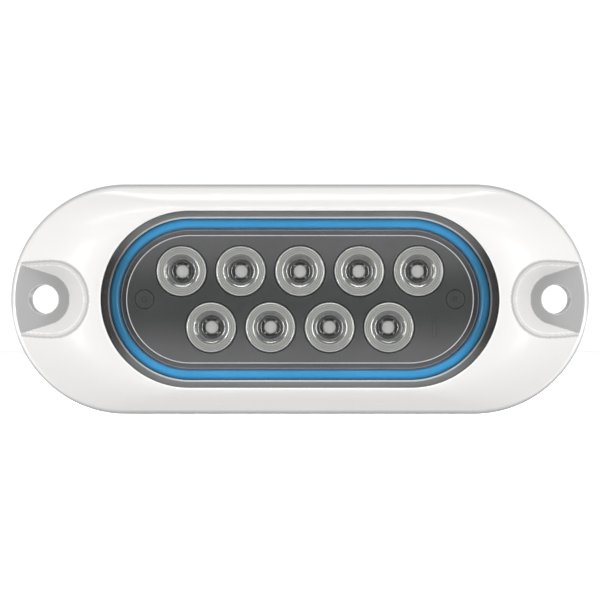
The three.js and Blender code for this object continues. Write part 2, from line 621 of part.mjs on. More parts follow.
function boardScrews() {
  return BOARD_SCREW_SPOTS.map(([x, y], i) => {
    const mesh = screw("board_screw_" + (i + 1), BOARD_SCREW, FINISH.steel);
    mesh.position.set(x, y, LED_BOARD_TOP + GAP);
    return mesh;
  });
}

// The driver's own components stand on its board, near the cavity's rounded end.
const driverX = (part) => part.inset - CAVITY_END;

function capacitor(name, can) {
  const low = DRIVER_BOARD_TOP + GAP;
  const high = PANEL_BOTTOM - can.headroom;
  const profile = [
    [0, low], [can.radius, low], [can.radius, high - can.bevel], [can.radius - can.bevel, high], [0, high],
  ];
  return piece(name, turned(profile, driverX(can), can.y, HOLE_STEPS), FINISH.capacitor);
}

function inductor() {
  const { size, y, headroom, well, wellDepth } = INDUCTOR;
  const low = DRIVER_BOARD_TOP + GAP;
  const high = PANEL_BOTTOM - headroom;
  const x = driverX(INDUCTOR);
  const dimple = rod(well, high - wellDepth, high + LAP, x, y, HOLE_STEPS);
  return piece("inductor", cutAll(solid(box(size, size, low, high, x, y)), [dimple]), FINISH.ferrite);
}

function driverChip() {
  const { width, length, height, y } = DRIVER_CHIP;
  const low = DRIVER_BOARD_TOP + GAP;
  return piece("driver_chip", box(width, length, low, low + height, driverX(DRIVER_CHIP), y), FINISH.chip);
}

// The bridge that carries the current from the driver board to the LED board.
function boardLink() {
  const left = -DRIVER_EDGE - LINK.onDriver;
  const right = -LED_BOARD_X + LINK.onBoard;
  const low = LED_BOARD_TOP + GAP;
  const bridge = box(right - left, LINK.width, low, low + LINK.height, (left + right) / 2, 0);
  return piece("board_link", bridge, FINISH.brass);
}

// A two-pole terminal block: wire mouths towards the boards and screw wells on top.
function terminalBlock() {
  const { width, length, headroom, pole, mouth } = TERMINAL;
  const x = CAVITY_END - TERMINAL.inset;
  const low = FLOOR + GAP;
  const high = PANEL_BOTTOM - headroom;
  const cutters = [];
  for (const side of [-1, 1]) {
    const y = TERMINAL.y + side * pole;
    const well = rod(TERMINAL_WELL.radius, high - TERMINAL_WELL.depth, high + LAP, x, y, PILOT_STEPS);
    const entry = rod(mouth, -width, 0, 0, 0, PILOT_STEPS).rotateY(Math.PI / 2);
    cutters.push(well, entry.translate(x, y, low + TERMINAL_MOUTH_HEIGHT));
  }
  const body = solid(box(width, length, low, high, x, TERMINAL.y));
  return piece("terminal_block", cutAll(body, cutters), FINISH.terminal);
}

// A lead from the terminal block along the cavity's top wall to the driver board.
function supplyLead(name, rise, finish) {
  const height = LED_BOARD_TOP + rise;
  const run = CAVITY_RADIUS - LEAD.wall - LEAD.radius;
  const alongWall = (x) => Math.sqrt(run ** 2 - Math.max(0, Math.abs(x) - CORE_HALF) ** 2);
  const start = CAVITY_END - TERMINAL.inset;
  const blockEdge = TERMINAL.y + TERMINAL.length / 2 + GAP;
  const bend = start + LEAD_BEND.x;
  const points = LEAD_START.map(([x, y]) => [start + x, blockEdge + y]);
  points.push([bend, alongWall(bend) - LEAD_BEND.off]);
  for (const x of [CORE_HALF, 0, -CORE_HALF]) points.push([x, run]);
  for (const past of LEAD_TAIL) points.push([-CORE_HALF - past, alongWall(CORE_HALF + past)]);
  const path = new THREE.CatmullRomCurve3(points.map(([x, y]) => new THREE.Vector3(x, y, height)));
  const section = new THREE.Shape().absarc(0, 0, LEAD.radius, 0, 2 * Math.PI);
  const options = { steps: LEAD.steps, curveSegments: LEAD.halfSides, extrudePath: path };
  return piece(name, new THREE.ExtrudeGeometry(section, options), finish);
}

// ================================================================ cable gland

function glandBody() {
  const shank = turned([
    [0, GLAND_END],
    [GLAND_OUTER_THREAD, GLAND_END],
    [GLAND_OUTER_THREAD, GLAND_HEX_BACK + LAP],
    [GLAND_INNER_THREAD, GLAND_HEX_BACK + LAP],
    [GLAND_INNER_THREAD, GLAND_INNER_TOP],
    [0, GLAND_INNER_TOP],
  ]);
  const seat = rod(GLAND_SEAT_RADIUS, GLAND_END - LAP, GLAND_END + GLAND_SEAT_DEPTH);
  const bore = rod(GLAND_BORE, GLAND_END - LAP, GLAND_INNER_TOP + LAP);
  const body = hexagon(GLAND_HEX_FLATS, GLAND_HEX_BACK, GLAND_HEX_TOP).add(solid(shank));
  return piece("gland_body", cutAll(body, [seat, bore]), FINISH.nylon);
}

function glandOring() {
  const middle = (BACK + GLAND_HEX_TOP) / 2;
  const section = [];
  for (let i = 0; i < ORING_SIDES; i++) {
    const angle = (2 * Math.PI * i) / ORING_SIDES;
    const across = GLAND_ORING_HALF * Math.cos(angle);
    section.push([GLAND_ORING_RADIUS + across, middle + (GLAND_ORING_HALF - GAP / 2) * Math.sin(angle)]);
  }
  return piece("gland_oring", turned(section), FINISH.rubber);
}

function glandSeal() {
  const low = GLAND_END - GLAND_SEAL_PROUD;
  const high = GLAND_END + GLAND_SEAT_DEPTH - GAP;
  const outer = GLAND_SEAT_RADIUS - GLAND_SEAL_CLEARANCE;
  return piece("gland_seal", tube(GLAND_BORE, outer, low, high), FINISH.rubber);
}

function glandRing() {
  const outer = GLAND_OUTER_THREAD - GLAND_RING_CLEARANCE;
  return piece("gland_ring", tube(GLAND_BORE + GAP, outer, GLAND_RING_BOTTOM, GLAND_RING_TOP), FINISH.brass);
}

function glandNut() {
  const top = GLAND_HEX_BACK - GLAND_NUT_START;
  const capTop = GLAND_RING_BOTTOM - GAP;
  const bottom = capTop - GLAND_NUT_CAP;
  const thread = rod(GLAND_OUTER_THREAD + GLAND_RUNNING_FIT, capTop, top + LAP);
  const hole = rod(GLAND_BORE + 2 * GAP, bottom - LAP, capTop + LAP);
  return piece("gland_nut", cutAll(hexagon(GLAND_NUT_FLATS, bottom, top), [thread, hole]), FINISH.nylon);
}

function gland() {
  const group = new THREE.Group();
  group.add(glandBody(), glandOring(), glandSeal(), glandRing(), glandNut());
  group.position.set(GLAND_X, GLAND_Y, 0);
  return group;
}

// ================================================================ the light

const light = new THREE.Group();
light.rotation.x = Math.PI / 2;
light.add(bezel(), lens(), windowSeal(), housing(), mountingMat(), opticPanel());
light.add(...caseScrews(), ...panelScrews(), ...boardScrews());
OPTIC_SPOTS.forEach(([x, y], i) => {
  light.add(optic("optic_" + (i + 1), x, y), led("led_" + (i + 1), x, y));
});
light.add(
  piece("led_board", boardSheet(BOARD_BOTTOM, LED_BOARD_TOP, 0, GAP), FINISH.board),
  piece("thermal_pad", boardSheet(PAD_BOTTOM, PAD_TOP, PAD_INSET, GAP), FINISH.pad),
  piece("driver_board", driverSheet(BOARD_BOTTOM, DRIVER_BOARD_TOP, 0), FINISH.driver),
  piece("driver_insulator", driverSheet(PAD_BOTTOM, PAD_TOP, PAD_INSET / 2), FINISH.pad),
);
light.add(inductor(), driverChip(), boardLink(), terminalBlock());
light.add(capacitor("input_capacitor", INPUT_CAPACITOR), capacitor("output_capacitor", OUTPUT_CAPACITOR));
light.add(supplyLead("lead_red", LEAD.first, FINISH.red));
light.add(supplyLead("lead_black", LEAD.second, FINISH.black));
light.add(gland());

const model = new THREE.Group();
model.add(light);

export default model;
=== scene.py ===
"""Looks of the underwater pool light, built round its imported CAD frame.

Every shape is drawn lying face up, in millimetres: x along the light, y up the wall and z out of the
wall. to_world() stands it up in the frame: X along the light, Z up, and the light shines along -Y.
"""

import math

import bpy
import numpy as np
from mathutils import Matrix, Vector


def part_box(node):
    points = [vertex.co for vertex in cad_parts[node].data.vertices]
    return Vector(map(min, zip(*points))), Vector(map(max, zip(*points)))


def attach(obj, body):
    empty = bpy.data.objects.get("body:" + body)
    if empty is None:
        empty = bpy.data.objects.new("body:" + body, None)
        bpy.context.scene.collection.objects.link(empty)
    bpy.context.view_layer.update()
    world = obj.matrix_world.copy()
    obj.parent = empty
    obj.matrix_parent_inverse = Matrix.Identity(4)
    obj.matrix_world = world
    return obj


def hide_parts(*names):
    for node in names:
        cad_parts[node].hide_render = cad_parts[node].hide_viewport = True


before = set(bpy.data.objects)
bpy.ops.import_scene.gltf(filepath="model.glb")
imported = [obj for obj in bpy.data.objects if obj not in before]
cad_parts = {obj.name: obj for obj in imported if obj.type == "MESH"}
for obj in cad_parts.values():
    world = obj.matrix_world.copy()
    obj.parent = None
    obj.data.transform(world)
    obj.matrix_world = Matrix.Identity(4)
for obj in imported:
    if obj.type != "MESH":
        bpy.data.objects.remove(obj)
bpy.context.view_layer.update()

LIGHT, RING, NUT = "light", "thrust_ring", "compression_nut"


# ---- sizes
def local_box(node):
    """Lowest and highest corner of a CAD node in the lying-down millimetres."""
    low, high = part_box(node)
    corners = [(p[0] * 1000, p[2] * 1000, -p[1] * 1000) for p in (low, high)]
    return np.minimum(*corners), np.maximum(*corners)


def middle(node):
    low, high = local_box(node)
    return (low + high) / 2


BEZEL_LOW, BEZEL_HIGH = local_box("bezel")
LENS_LOW, LENS_HIGH = local_box("lens")
SEAL_LOW, SEAL_HIGH = local_box("window_seal")
HOUSING_HIGH = local_box("housing")[1]
PANEL_LOW, PANEL_HIGH = local_box("optic_panel")
MAT_LOW, MAT_HIGH = local_box("mounting_gasket")
OPTIC_LOW, OPTIC_HIGH = local_box("optic_1")
LED_LOW, LED_HIGH = local_box("led_1")

BEZEL_RADIUS = BEZEL_HIGH[1]
BEZEL_HALF = BEZEL_HIGH[0] - BEZEL_RADIUS  # middle to the centre of the bezel's round end
BACK = BEZEL_LOW[2]
DEPTH = BEZEL_HIGH[2]
SIDE_TOP = 7.5  # where the side ends and the dome begins
SIDE_DRAFT = 2.2  # how far the side leans in over its height
DOME_POWER = 1.6
CORE_HALF = LENS_HIGH[0] - LENS_HIGH[1]  # middle to the centre of the window's round end
LENS_STEP_RADIUS = LENS_HIGH[1]
LENS_RADIUS = LENS_STEP_RADIUS - 1.3
LENS_SHOULDER = LENS_LOW[2] + 1.7
WINDOW_RADIUS = LENS_RADIUS + 0.3
WINDOW_ROUND = 0.4
GAP = 0.2
LAP = 1  # how far a cutter reaches past what it cuts

EAR_X = BEZEL_HIGH[0] - 10
EAR_HOLE = 4.0
EAR_FLOOR = 7.0
EAR_FLOOR_RADIUS = 7.0
EAR_SPLAY = math.radians(17)  # how far the pocket's sides spread outwards
EAR_SLOPE = math.tan(math.radians(31))  # the pocket's wall leans this far from upright
EAR_CHAMFER = 0.55  # how far the chamfer at the pocket's mouth lowers its corner
EAR_CORNER = 0.25  # rounding between the pocket's floor and its wall
EDGE_SOFT = 0.3  # rounding of the chamfer's edges

RIM_TOP = HOUSING_HIGH[2]
GROOVE_RADIUS = WINDOW_RADIUS - 1.7
CAVITY_RADIUS = GROOVE_RADIUS - 4
LEDGE = SEAL_LOW[2] - 0.1
BODY_RADIUS = WINDOW_RADIUS + 1.6
FLANGE_RADIUS = HOUSING_HIGH[1]
FLANGE_TOP = BACK + 3
FLOOR = BACK + 2.6
CASE_PILOT_RADIUS = 1.1
CASE_PILOT_TOP = BACK + 9.5
CASE_SHANK_HOLE = 1.2
CASE_HEAD_HOLE = 1.95
CASE_HEAD_DEPTH = 1.3
GLAND_HOLE = 5.0
GLAND = middle("gland_body")[:2]
MAT_GLAND_HOLE = 10.5
MAT_EAR_HOLE = 4.8

PANEL_TOP = PANEL_HIGH[2] - 0.15
PANEL_BOTTOM = PANEL_LOW[2]
PANEL_FLANGE_RADIUS = PANEL_HIGH[1]
PANEL_RADIUS = GROOVE_RADIUS - 4.55
OPTIC_RADIUS = (OPTIC_HIGH[0] - OPTIC_LOW[0]) / 2
OPTIC_TOP = OPTIC_HIGH[2]
PANEL_HOLE_GAP = 0.25
PANEL_SHANK_HOLE = 1.2
PANEL_HEAD_HOLE = 2.6
PANEL_HEAD_DEPTH = 1.05
CASE_SCREWS = ["case_screw_%d" % n for n in range(1, 7)]
BOARD_SCREWS = ["board_screw_%d" % n for n in range(1, 5)]
PANEL_SCREWS = ["panel_screw_left", "panel_screw_right"]
OPTICS = ["optic_%d" % n for n in range(1, 10)]
LEDS = ["led_%d" % n for n in range(1, 10)]


# ---- mesh helpers
def to_world(points):
    p = np.asarray(points, float).reshape(-1, 3) / 1000
    return np.column_stack((p[:, 0], -p[:, 2], p[:, 1]))


def new_mesh(name, points, faces, tone=None):
    """A mesh object from lying-down millimetres, with an optional number for each vertex."""
    mesh = bpy.data.meshes.new(name)
    mesh.from_pydata(to_world(points).tolist(), [], faces)
    if tone is not None:
        layer = mesh.attributes.new("tone", "FLOAT", "POINT")
        layer.data.foreach_set("value", np.asarray(tone, np.float32))
    mesh.validate()
    obj = bpy.data.objects.new(name, mesh)
    bpy.context.scene.collection.objects.link(obj)
    return obj


def smooth(obj, angle):
    """Shades a piece smoothly, and keeps edges sharper than the angle crisp."""
    mesh = obj.data
    mesh.polygons.foreach_set("use_smooth", [True] * len(mesh.polygons))
    mesh.set_sharp_from_angle(angle=math.radians(angle))
    mesh.update()


def skin(rows, closed=False):
    """Faces over rows of points, with every row a closed loop; open ends are capped with one face."""
    count = len(rows[0])
    bands = len(rows) if closed else len(rows) - 1
    faces = []
    for band in range(bands):
        low, high = band * count, ((band + 1) % len(rows)) * count
        for i in range(count):
            after = (i + 1) % count
            faces.append((low + i, low + after, high + after, high + i))
    if not closed:
        top = (len(rows) - 1) * count
        faces.append(tuple(range(count - 1, -1, -1)))
        faces.append(tuple(range(top, top + count)))
    return faces


def arc_angles(dense=False):
    """Angles over half a turn; dense ones are close together round the middle."""
    if not dense:
        return np.linspace(-math.pi / 2, math.pi / 2, 49)
    coarse = np.radians(np.arange(-90, -40, 2.5))
    fine = np.radians(np.linspace(-40, 40, 201))
    return np.concatenate((coarse, fine, -coarse[::-1]))


def stadium(half, radius, z, angles, straight=1):
    """One loop of points: two round ends and two straight sides of so many steps, counter-clockwise."""
    right = np.column_stack((half + radius * np.cos(angles), radius * np.sin(angles)))
    left = -right
    share = np.linspace(0, 1, straight + 1)[1:-1, None]
    top = right[-1] + (left[0] - right[-1]) * share
    bottom = left[-1] + (right[0] - left[-1]) * share
    flat = np.concatenate((right, top, left, bottom))
    return np.column_stack((flat, np.full(len(flat), float(z))))


def step_tones(profile, count):
    """A tone for each of the count points on each step, where a profile's steps have a third value."""
    if len(profile[0]) == 2:
        return None
    return np.repeat([step[2] for step in profile], count)


def stadium_body(name, profile, closed=False):
    """A stadium-shaped body from [radius, z] or [radius, z, tone] steps about the window's middle line."""
    angles = arc_angles()
    rows = [stadium(CORE_HALF, step[0], step[1], angles) for step in profile]
    return new_mesh(name, np.concatenate(rows), skin(rows, closed), step_tones(profile, len(rows[0])))


def ring_row(radius, z, steps, x, y):
    """One round loop of points."""
    angles = np.arange(steps) * 2 * math.pi / steps
    height = np.full(steps, float(z))
    return np.column_stack((x + radius * np.cos(angles), y + radius * np.sin(angles), height))


def turned_data(profile, x, y, steps=64, closed=False):
    """Points and faces of a round body: open profiles are capped, and closed ones make a ring."""
    rows = [ring_row(max(step[0], 1e-4), step[1], steps, x, y) for step in profile]
    return np.concatenate(rows), skin(rows, closed)


def turned(name, profile, x, y, steps=64):
    """A ring from [radius, z] or [radius, z, tone] steps."""
    points, faces = turned_data(profile, x, y, steps, True)
    return new_mesh(name, points, faces, step_tones(profile, steps))


def rod(radius, low, high, x, y, steps=64):
    """Points and faces of a plain round cutter."""
    return turned_data([(radius, low), (radius, high)], x, y, steps)


def joined(name, parts, tone=None):
    """One mesh object from several [points, faces] pairs, with a tone for all or for each point."""
    points, faces, start = [], [], 0
    for part_points, part_faces in parts:
        points.append(part_points)
        faces.extend(tuple(start + i for i in face) for face in part_faces)
        start += len(part_points)
    points = np.concatenate(points)
    tones = None if tone is None else np.broadcast_to(tone, len(points))
    return new_mesh(name, points, faces, tones)


def boolean(obj, other, operation="DIFFERENCE", solver="MANIFOLD"):
    """Cuts other out of obj (or keeps what they share), and removes other."""
    step = obj.modifiers.new("cut", "BOOLEAN")
    step.operation = operation
    step.solver = solver
    step.object = other
    graph = bpy.context.evaluated_depsgraph_get()
    mesh = bpy.data.meshes.new_from_object(obj.evaluated_get(graph))
    old = obj.data
    obj.modifiers.clear()
    obj.data = mesh
    mesh.name = old.name + "_cut"
    bpy.data.meshes.remove(old)
    bpy.data.objects.remove(other)
    return obj


# ---- material helpers
def material(name):
    """A new material, with its nodes, links and shader."""
    mat = bpy.data.materials.new(name)
    mat.use_nodes = True
    tree = mat.node_tree
    return mat, tree.nodes, tree.links, tree.nodes["Principled BSDF"]


def object_noise(nodes, links, scale, detail=3.0, rough=0.5):
    """Noise over the object's own coordinates, in cycles per metre."""
    where = nodes.new("ShaderNodeTexCoord")
    noise = nodes.new("ShaderNodeTexNoise")
    noise.inputs["Scale"].default_value = scale
    noise.inputs["Detail"].default_value = detail
    noise.inputs["Roughness"].default_value = rough
    links.new(where.outputs["Object"], noise.inputs["Vector"])
    return noise.outputs["Fac"]


def ramp(nodes, links, source, stops):
    """A colour ramp over source, from (place, colour) pairs."""
    node = nodes.new("ShaderNodeValToRGB")
    elements = node.color_ramp.elements
    while len(elements) < len(stops):
        elements.new(0.5)
    for element, (place, colour) in zip(elements, stops):
        element.position = place
        element.color = (*colour, 1)
    links.new(source, node.inputs["Fac"])
    return node.outputs["Color"]


def span(nodes, links, source, low, high, to_low, to_high, smoothly=False):
    """source, with low to high stretched over to_low to to_high."""
    node = nodes.new("ShaderNodeMapRange")
    if smoothly:
        node.interpolation_type = "SMOOTHSTEP"
    for socket, value in zip(("From Min", "From Max", "To Min", "To Max"), (low, high, to_low, to_high)):
        node.inputs[socket].default_value = value
    links.new(source, node.inputs["Value"])
    return node.outputs["Result"]


def feed(links, socket, value):
    """Sets a socket to a number or a colour, or links it to another socket."""
    if isinstance(value, (int, float)):
        socket.default_value = value
    elif isinstance(value, tuple):
        socket.default_value = (*value, 1)
    else:
        links.new(value, socket)


def mix(nodes, links, share, first, second, mode="MIX"):
    """first and second are colours or sockets, and share is a number or a socket."""
    node = nodes.new("ShaderNodeMix")
    node.data_type = "RGBA"
    node.blend_type = mode
    for place, value in ((0, share), (6, first), (7, second)):
        feed(links, node.inputs[place], value)
    return node.outputs[2]


def bump(nodes, links, shader, height, strength, distance):
    node = nodes.new("ShaderNodeBump")
    node.inputs["Strength"].default_value = strength
    node.inputs["Distance"].default_value = distance
    links.new(height, node.inputs["Height"])
    links.new(node.outputs["Normal"], shader.inputs["Normal"])


def object_axis(nodes, links, axis):
    where = nodes.new("ShaderNodeTexCoord")
    split = nodes.new("ShaderNodeSeparateXYZ")
    links.new(where.outputs["Object"], split.inputs["Vector"])
    return split.outputs[axis]


def tone_value(nodes):
    node = nodes.new("ShaderNodeAttribute")
    node.attribute_name = "tone"
    return node.outputs["Fac"]


def maths(nodes, links, operation, first, second=None):
    node = nodes.new("ShaderNodeMath")
    node.operation = operation
    feed(links, node.inputs[0], first)
    if second is not None:
        feed(links, node.inputs[1], second)
    return node.outputs[0]


def grained(name, dark, light, rough, scale, grain=0.25, metallic=0.0):
    """A finish whose colour and roughness wander between two values, with a fine raised grain."""
    mat, nodes, links, shader = material(name)
    broad = object_noise(nodes, links, scale, 4, 0.55)
    fine = object_noise(nodes, links, scale * 9, 2)
    links.new(ramp(nodes, links, broad, [(0.3, dark), (0.7, light)]), shader.inputs["Base Color"])
    links.new(span(nodes, links, broad, 0.3, 0.7, rough[0], rough[1]), shader.inputs["Roughness"])
    bump(nodes, links, shader, fine, grain, 0.00004)
    shader.inputs["Metallic"].default_value = metallic
    return mat


# ---- materials
# The bezel's tones: a painted highlight on edges and lines, the plain dome, painted shade on the pocket's
# chamfer and the side, a matt face with painted shade on the screw's seat, painted shade on the wall of a
# drilled hole, and near-black painted shade in the gap inside the window's opening.
PAINTED_HIGHLIGHT, PLAIN, CHAMFER_SHADE, MATT_SHADE, HOLE_SHADE, GAP_SHADE = 0.0, 0.2, 0.6, 1.0, 1.2, 1.5


def shell_material():
    """Glossy warm white plastic, whose colour follows the bezel's tones: painted highlights and painted
    shade over the plain white.
    """
    mat, nodes, links, shader = material("white_shell")
    broad = object_noise(nodes, links, 22, 0.5, 0.4)
    fine = object_noise(nodes, links, 900, 2, 0.5)
    white = ramp(nodes, links, broad, [(0.1, (0.805, 0.792, 0.778)), (0.9, (0.83, 0.818, 0.806))])
    tone = tone_value(nodes)
    seat = span(nodes, links, tone, CHAMFER_SHADE, MATT_SHADE, 0, 1)
    # painted highlight on the polished edges and lines
    edge_highlighted = mix(nodes, links, span(nodes, links, tone, PAINTED_HIGHLIGHT, PLAIN, 1, 0), white, (0.96, 0.96, 0.955))
    # painted shade on the pocket's chamfer and the side
    chamfer_shaded = mix(nodes, links, span(nodes, links, tone, PLAIN, CHAMFER_SHADE, 0, 1), edge_highlighted, (0.6, 0.6, 0.595))
    # painted shade on the screw's matt seat and the back edge
    seat_shaded = mix(nodes, links, seat, chamfer_shaded, (0.41, 0.41, 0.41))
    # near-black painted shade in the gap inside the window's opening, and a lighter share of it on the
    # drilled holes' walls
    shaded = span(nodes, links, tone, MATT_SHADE + 0.05, GAP_SHADE - 0.05, 0, 1)
    gap_shaded = mix(nodes, links, shaded, seat_shaded, (0.02, 0.02, 0.02))
    links.new(gap_shaded, shader.inputs["Base Color"])
    gloss = span(nodes, links, broad, 0.1, 0.9, 0.3, 0.36)
    links.new(maths(nodes, links, "MAXIMUM", gloss, maths(nodes, links, "MULTIPLY", seat, 0.85)),
              shader.inputs["Roughness"])
    shader.inputs["Coat Weight"].default_value = 0.2
    shader.inputs["Coat Roughness"].default_value = 0.1
    bump(nodes, links, shader, fine, 0.06, 0.00002)
    return mat


def clear_material():
    """A polished clear sheet: what is behind shows through, and it reflects more at a grazing angle."""
    mat, nodes, links, shader = material("window_clear")
    nodes.remove(shader)
    out = nodes["Material Output"]
    wear = object_noise(nodes, links, 60, 3)
    tint = ramp(nodes, links, wear, [(0.3, (0.975, 0.978, 0.975)), (0.7, (0.985, 0.988, 0.985))])
    through = nodes.new("ShaderNodeBsdfTransparent")
    links.new(tint, through.inputs["Color"])
    shine = nodes.new("ShaderNodeBsdfGlossy")
    shine.inputs["Color"].default_value = (1, 1, 1, 1)
    links.new(span(nodes, links, wear, 0.3, 0.7, 0.01, 0.03), shine.inputs["Roughness"])
    edge_on = nodes.new("ShaderNodeLayerWeight")
    grazing = maths(nodes, links, "POWER", edge_on.outputs["Facing"], 5.0)
    both = nodes.new("ShaderNodeMixShader")
    links.new(span(nodes, links, grazing, 0, 1, 0.04, 1), both.inputs["Fac"])
    links.new(through.outputs["BSDF"], both.inputs[1])
    links.new(shine.outputs["BSDF"], both.inputs[2])
    links.new(both.outputs["Shader"], out.inputs["Surface"])
    return mat


def along_ring(nodes, links, low, high):
    """0 at the light's two round ends and 1 along its straight sides."""
    height = maths(nodes, links, "ABSOLUTE", object_axis(nodes, links, "Z"))
    return span(nodes, links, height, low, high, 0, 1, True)


def seal_material():
    """Blue silicone rubber: a soft satin face, with painted light along its straight runs and painted shade
    on its flanks.
    """
    mat, nodes, links, shader = material("blue_seal")
    broad = object_noise(nodes, links, 55, 4)
    fine = object_noise(nodes, links, 2200, 2)
    # painted light: the seal is lighter along its straight runs than at its round ends
    share = along_ring(nodes, links, 0.006, 0.019)
    crown = mix(nodes, links, share, (0.022, 0.235, 0.45), (0.055, 0.43, 0.86))
    # the flanks are painted in shade, darker than the crown
    flank = mix(nodes, links, share, (0.018, 0.12, 0.25), (0.03, 0.17, 0.36))
    colour = mix(nodes, links, tone_value(nodes), flank, crown)
    patchy = ramp(nodes, links, broad, [(0.3, (0.9, 0.93, 0.95)), (0.7, (1, 1, 1))])
    links.new(mix(nodes, links, 1.0, colour, patchy, "MULTIPLY"), shader.inputs["Base Color"])
    links.new(span(nodes, links, broad, 0.3, 0.7, 0.14, 0.2), shader.inputs["Roughness"])
    bump(nodes, links, shader, fine, 0.05, 0.00001)
    return mat


def housing_material():
    """Cast metal under a dark coat, with painted light: lighter along its straight runs than at its round
    ends. Tone 1 paints a highlight on the chamfer at the seal's groove.
    """
    mat, nodes, links, shader = material("dark_housing")
    broad = object_noise(nodes, links, 70, 4)
    fine = object_noise(nodes, links, 2600, 3)
    # painted light: the coat is lighter along the straight runs than at the round ends
    share = along_ring(nodes, links, 0.008, 0.021)
    colour = mix(nodes, links, share, (0.062, 0.052, 0.05), (0.35, 0.35, 0.345))
    patchy = ramp(nodes, links, broad, [(0.3, (0.86, 0.86, 0.86)), (0.7, (1, 1, 1))])
    coat = mix(nodes, links, 1.0, colour, patchy, "MULTIPLY")
    # painted highlight on the groove's chamfer, stronger along the straight runs
    edge = mix(nodes, links, share, (0.32, 0.32, 0.32), (0.93, 0.95, 0.96))
    links.new(mix(nodes, links, tone_value(nodes), coat, edge), shader.inputs["Base Color"])
    links.new(span(nodes, links, broad, 0.3, 0.7, 0.4, 0.5), shader.inputs["Roughness"])
    bump(nodes, links, shader, fine, 0.15, 0.00003)
    return mat


def panel_material():
    """Dark satin moulding, with painted light: lighter towards its long edges. Tone 1 paints a highlight on
    the bevel.
    """
    mat, nodes, links, shader = material("dark_panel")
    broad = object_noise(nodes, links, 45, 4)
    fine = object_noise(nodes, links, 3000, 2)
    # painted light: the moulding is lighter towards its long edges
    height = maths(nodes, links, "ABSOLUTE", object_axis(nodes, links, "Z"))
    share = span(nodes, links, height, 0.003, 0.0172, 0, 1, True)
    colour = mix(nodes, links, share, (0.052, 0.053, 0.054), (0.15, 0.147, 0.152))
    patchy = ramp(nodes, links, broad, [(0.3, (0.9, 0.9, 0.9)), (0.7, (1.03, 1.03, 1.03))])
    satin = mix(nodes, links, 1.0, colour, patchy, "MULTIPLY")
    # painted highlight on the bevel
    links.new(mix(nodes, links, tone_value(nodes), satin, (0.88, 0.88, 0.88)), shader.inputs["Base Color"])
    links.new(span(nodes, links, broad, 0.3, 0.7, 0.36, 0.46), shader.inputs["Roughness"])
    bump(nodes, links, shader, fine, 0.12, 0.00002)
    return mat


def optic_material():
    """Moulded clear optic drawn as an opaque shell: tone runs from painted shade deep in the cone, 0, to a
    painted highlight on the rim, 1.
    """
    mat, nodes, links, shader = material("optic_clear")
    tone = tone_value(nodes)
    fine = object_noise(nodes, links, 1500, 2)
    stops = [
        (0.0, (0.035, 0.036, 0.036)), (0.25, (0.085, 0.086, 0.085)), (0.5, (0.2, 0.2, 0.195)),
        (0.75, (0.42, 0.42, 0.4)), (1.0, (0.72, 0.72, 0.71)),
    ]
    patchy = ramp(nodes, links, fine, [(0.2, (0.94, 0.94, 0.93)), (0.8, (1, 1, 1))])
    links.new(mix(nodes, links, 1.0, ramp(nodes, links, tone, stops), patchy, "MULTIPLY"),
              shader.inputs["Base Color"])
    links.new(span(nodes, links, tone, 0.25, 0.75, 0.08, 0.16), shader.inputs["Roughness"])
    shader.inputs["IOR"].default_value = 1.7
    shader.inputs["Specular IOR Level"].default_value = 1.0
    shader.inputs["Coat Weight"].default_value = 1.0
    shader.inputs["Coat Roughness"].default_value = 0.06
    return mat


def led_material():
    """White ceramic package, tone 0, under a pale silicone dome, tone 1."""
    mat, nodes, links, shader = material("led_phosphor")
    broad = object_noise(nodes, links, 900, 3)
    tone = tone_value(nodes)
    dome = ramp(nodes, links, broad, [(0.3, (0.86, 0.86, 0.855)), (0.7, (0.92, 0.92, 0.915))])
    base = ramp(nodes, links, broad, [(0.3, (0.8, 0.8, 0.79)), (0.7, (0.88, 0.88, 0.87))])
    links.new(mix(nodes, links, tone, base, dome), shader.inputs["Base Color"])
    links.new(span(nodes, links, tone, 0, 1, 0.4, 0.16), shader.inputs["Roughness"])
    shader.inputs["Coat Weight"].default_value = 0.4
    return mat


def gasket_material():
    """Black rubber with a fine stipple and a little bloom."""
    mat, nodes, links, shader = material("black_rubber")
    broad = object_noise(nodes, links, 42, 5, 0.6)
    fine = object_noise(nodes, links, 1800, 3, 0.6)
    links.new(ramp(nodes, links, broad, [(0.35, (0.018, 0.018, 0.019)), (0.7, (0.034, 0.034, 0.035))]),
              shader.inputs["Base Color"])
    links.new(span(nodes, links, broad, 0.3, 0.7, 0.6, 0.75), shader.inputs["Roughness"])
    bump(nodes, links, shader, fine, 0.35, 0.00006)
    return mat


